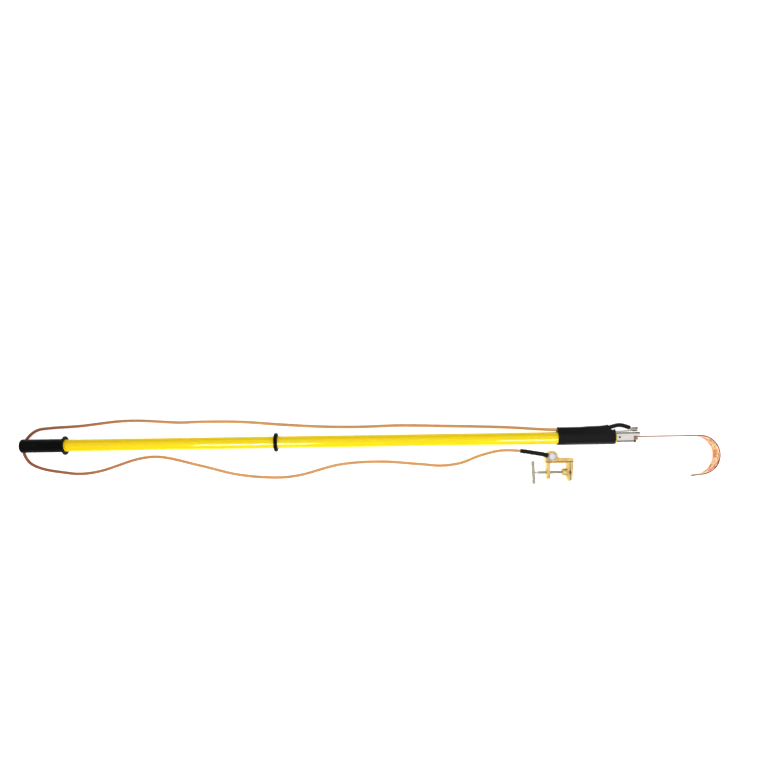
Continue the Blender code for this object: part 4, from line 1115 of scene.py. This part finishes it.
def thread(radius, pitch, low, high, at, turn):
    """The ridge of a thread, from low to high along its axis, in millimetres."""
    bpy.ops.object.select_all(action="DESELECT")
    bpy.ops.mesh.primitive_circle_add(vertices=3, radius=pitch * 0.56 * MM, fill_type="NOTHING")
    ridge = bpy.context.object
    edit(ridge)
    mesh = bmesh.from_edit_mesh(ridge.data)
    profile = [(pitch * 0.46, radius * 0.80), (0, radius), (-pitch * 0.46, radius * 0.80)]
    for vert, (along, out) in zip(mesh.verts, profile):
        vert.co = Vector((out, 0, low + along)) * MM
    bmesh.update_edit_mesh(ridge.data)
    done()
    turns = round((high - low) / pitch)
    work(ridge, "SCREW", axis="Z", screw_offset=pitch * MM, iterations=turns, steps=32, render_steps=32)
    edit(ridge)
    bpy.ops.mesh.fill_holes(sides=0)
    bpy.ops.mesh.select_all(action="SELECT")
    bpy.ops.mesh.normals_make_consistent(inside=False)
    done()
    ridge.rotation_euler = turn
    ridge.location = at
    return ridge


def joined(piece, *others):
    """One object of several closed shells."""
    bpy.ops.object.select_all(action="DESELECT")
    for each in (piece, *others):
        each.select_set(True)
    bpy.context.view_layer.objects.active = piece
    bpy.ops.object.join()
    return piece


BOLT_SEAT = 19.6
SHANK_END = BOLT_SEAT - 33.5
bolt_at = spot(BOLT_AT)
hex_bolt = hexagon("hex_bolt", 13.0, BOLT_SEAT, BOLT_SEAT + 5.3, bolt_at, ALONG_Y)
shank = turned("shank", [(SHANK_END, 2.8), (SHANK_END + 0.6, 3.3), (BOLT_SEAT + 2, 3.3)], bolt_at, ALONG_Y)
plain = turned("plain", [(-1.0, 3.9), (BOLT_SEAT + 1, 3.9)], bolt_at, ALONG_Y)
ridge = thread(4.0, 1.25, SHANK_END + 1, 0, bolt_at, ALONG_Y)
for each in (hex_bolt, shank, plain, ridge):
    pick(each)
    bpy.ops.object.transform_apply(location=True, rotation=True, scale=True)
dress(joined(hex_bolt, shank, plain, ridge), BOLT_STEEL, "stick", "hook_bolt", angle=30)
hex_nut = hexagon("hex_nut", 13.0, 0.8, 7.3, bolt_at, ALONG_MINUS_Y)
drill(hex_nut, 4.3, -2, 10, bolt_at, ALONG_MINUS_Y)
dress(hex_nut, STEEL, "stick", "hook_nut", angle=30)

# %% [markdown]
# ## The lugs
# Each end of the lead is crimped in a lug: a tube whose far end was pressed flat and punched. The
# frame has their true shapes, so a copy of each is merged and its edges are eased, as the press
# leaves them.

# %% Lugs
for node, name in (("head_lug", "crimp_lug_head"), ("clamp_lug", "crimp_lug_clamp")):
    dress(copy_of(node, name, 0.25), TIN, "stick", node)

# %% [markdown]
# ## The clamp
# The clamp is cast brass: a thick bar with a boss for the lug, a leg at each end, and a thin rail on
# which the jaw slides. The corners of a casting are never sharp, so copies of the two solids are
# rounded by more than half a millimetre.

# %% Frame and jaw
dress(copy_of("clamp_frame", "brass_frame", 0.7), BRASS, "stick", "clamp_frame", angle=40)
dress(copy_of("clamp_jaw", "brass_jaw", 0.5), BRASS, "jaw", "clamp_jaw", angle=40)
cross_pin = copy_of("jaw_pin", "cross_pin", 0.2)
dress(cross_pin, STEEL, "jaw", "jaw_pin")

# %% [markdown]
# ## The screw
# The screw is a plated steel rod with a coarse thread, a plain neck at the handle and a groove
# for the pin inside the jaw.

# %% Screw
axis = grip_spot(0)
core = turned("steel_screw", eased([
    (-33.8, 1.0, 0),
    (-33.8, 2.2, 0.4),
    (-24.9, 2.2, 0),
    (-24.9, 2.8, 0.2),
    (-20.4, 2.8, 0),
    (-15.9, 3.9, 0.4),
    (-14.6, 3.25, 0),
    (46.2, 3.25, 0),
    (46.2, 2.6, 0),
    (50.2, 2.6, 0),
    (50.2, 4.0, 0.3),
    (56.7, 4.0, 0.8),
    (56.7, 1.0, 0),
]), axis)
ridge = thread(4.0, 1.25, -14.5, 45.0, axis, ALONG_X)
for each in (core, ridge):
    pick(each)
    bpy.ops.object.transform_apply(location=True, rotation=True, scale=True)
dress(joined(core, ridge), SCREW_STEEL, "screw", "clamp_screw", angle=30)

# %% [markdown]
# ## The handle
# The handle is a plain bar across the screw's end, with a knob turned at each end behind a narrow
# groove, and the screw's riveted spigot through its middle. Half its outline is written down and
# mirrored. It is turned, and then tilted as the picture shows it.

# %% Handle
half = eased([
    (28.8, 0.8, 0),
    (28.8, 4.3, 1.3),
    (18.6, 4.3, 0.8),
    (18.2, 3.1, 0.2),
    (17.4, 3.1, 0.2),
    (16.8, 3.8, 0.3),
])
rings = [*half, *[(-height, radius) for height, radius in reversed(half)]]
tee_handle = turned("tee_handle", rings, grip_spot(-29), (math.radians(-100), 0, 0))
drill(tee_handle, 2.5, -10, 10, grip_spot(-29), ALONG_X)
dress(tee_handle, STEEL, "screw", "clamp_handle")

# %% [markdown]
# ## The domed bolt
# The lug is held on the boss by a bright domed bolt with a hexagon socket.

# %% Domed bolt
dome = [(12.6, 1.0, 0), (12.6, 10.0, 0.4), (13.8, 10.0, 0.4)]
rings = eased(dome, 3)
for part in range(1, 13):
    angle = math.pi / 2 * part / 13
    rings.append((13.8 + 4.6 * math.sin(angle), 10 * math.cos(angle)))
seat = grip_spot(17, 39.8)
dome_bolt = turned("dome_bolt", rings, seat, UPRIGHT)
carve(dome_bolt, turned("key", [(15.4, 3.46), (25, 3.46)], seat, UPRIGHT, sides=6))
shank = turned("shank", eased([(-6.4, 1.0, 0), (-6.4, 4.0, 0.8), (13.0, 4.0, 0), (13.0, 1.0, 0)]), seat, UPRIGHT)
for each in (dome_bolt, shank):
    pick(each)
    bpy.ops.object.transform_apply(location=True, rotation=True, scale=True)
dress(joined(dome_bolt, shank), CHROME, "stick", "clamp_bolt")

# %% [markdown]
# ## Floor and light
# The stick lies on a white light table, as goods are photographed to stand free of shadows: the
# table glows a little by itself.

# %% Floor
FLOOR = Finish("white_light_table")
paper = cloud(FLOOR, 14, (1, 1, 1), 2)
FLOOR.set(
    base_color=blend(FLOOR, paper, (0.86, 0.86, 0.86), (0.9, 0.9, 0.9)),
    roughness=0.9,
    emission_color=(1, 1, 1),
    emission_strength=0.72,
)
bpy.ops.object.select_all(action="DESELECT")
bpy.ops.mesh.primitive_plane_add(size=12, location=(0, 0, 0))
floor = bpy.context.object
floor.name = "studio_floor"
floor.data.materials.append(FLOOR.material)

# %% [markdown]
# Two strip lights hang at the pole's near side, with a gap between them. Each draws one bright line
# along the gel coat, and in the gap the pole keeps its plain yellow. A photographer keeps such lights
# off the metal with black card. Here light linking does it: they shine on the yellow tube alone,
# and only in its gloss. A wide soft fill light from the near side evens out the rest.

# %% Lights


def softbox(name, at, width, depth, power, target=(0, 0, 0)):
    """A rectangular light that faces its target."""
    bpy.ops.object.light_add(type="AREA", location=at)
    box = bpy.context.object
    box.name = name
    box.data.shape = "RECTANGLE"
    box.data.size = width
    box.data.size_y = depth
    box.data.energy = power
    away = Vector(at) - Vector(target)
    box.rotation_euler = away.to_track_quat("Z", "Y").to_euler()
    return box


STRIP_RISE = 1.725
STRIP_SIDE = -1.21
STRIP_WIDTH = 0.24
STRIP_POWER = 90
gel_coat_only = bpy.data.collections.new("gel_coat_only")
gel_coat_only.objects.link(yellow_tube)
for name, first, last in (("near_the_grip", -144, 533), ("near_the_head", 1521, 1960)):
    middle = spot((first + last) / 2)
    at = (middle.x, middle.y + STRIP_SIDE, middle.z + STRIP_RISE)
    long = (last - first) * MM
    strip = softbox(name, at, long, STRIP_WIDTH, STRIP_POWER * long, middle)
    strip.visible_diffuse = False
    strip.light_linking.receiver_collection = gel_coat_only
fill = softbox("fill", (0, -1.6, 1.5), 3.2, 1.0, 30)
fill.visible_glossy = False

# %% [markdown]
# The ceiling is white and the walls are dark. Metal needs something dark to mirror: the walls draw
# the grey streaks along the ferrule, the screw and the handle.

# %% Ceiling and walls
world = bpy.data.worlds.new("studio")
world.use_nodes = True
room = world.node_tree
looking = room.nodes.new("ShaderNodeTexCoord")
upward = room.nodes.new("ShaderNodeSeparateXYZ")
wall = room.nodes.new("ShaderNodeMapRange")
wall.interpolation_type = "SMOOTHSTEP"
for socket, value in ((1, 0.34), (2, 0.58), (3, 0.04), (4, 0.95)):
    wall.inputs[socket].default_value = value
room.links.new(looking.outputs["Generated"], upward.inputs[0])
room.links.new(upward.outputs[2], wall.inputs[0])
room.links.new(wall.outputs[0], room.nodes["Background"].inputs["Strength"])
room.nodes["Background"].inputs["Color"].default_value = (1, 1, 1, 1)
bpy.context.scene.world = world
bpy.context.scene.view_settings.view_transform = "Standard"
print("studio ready")
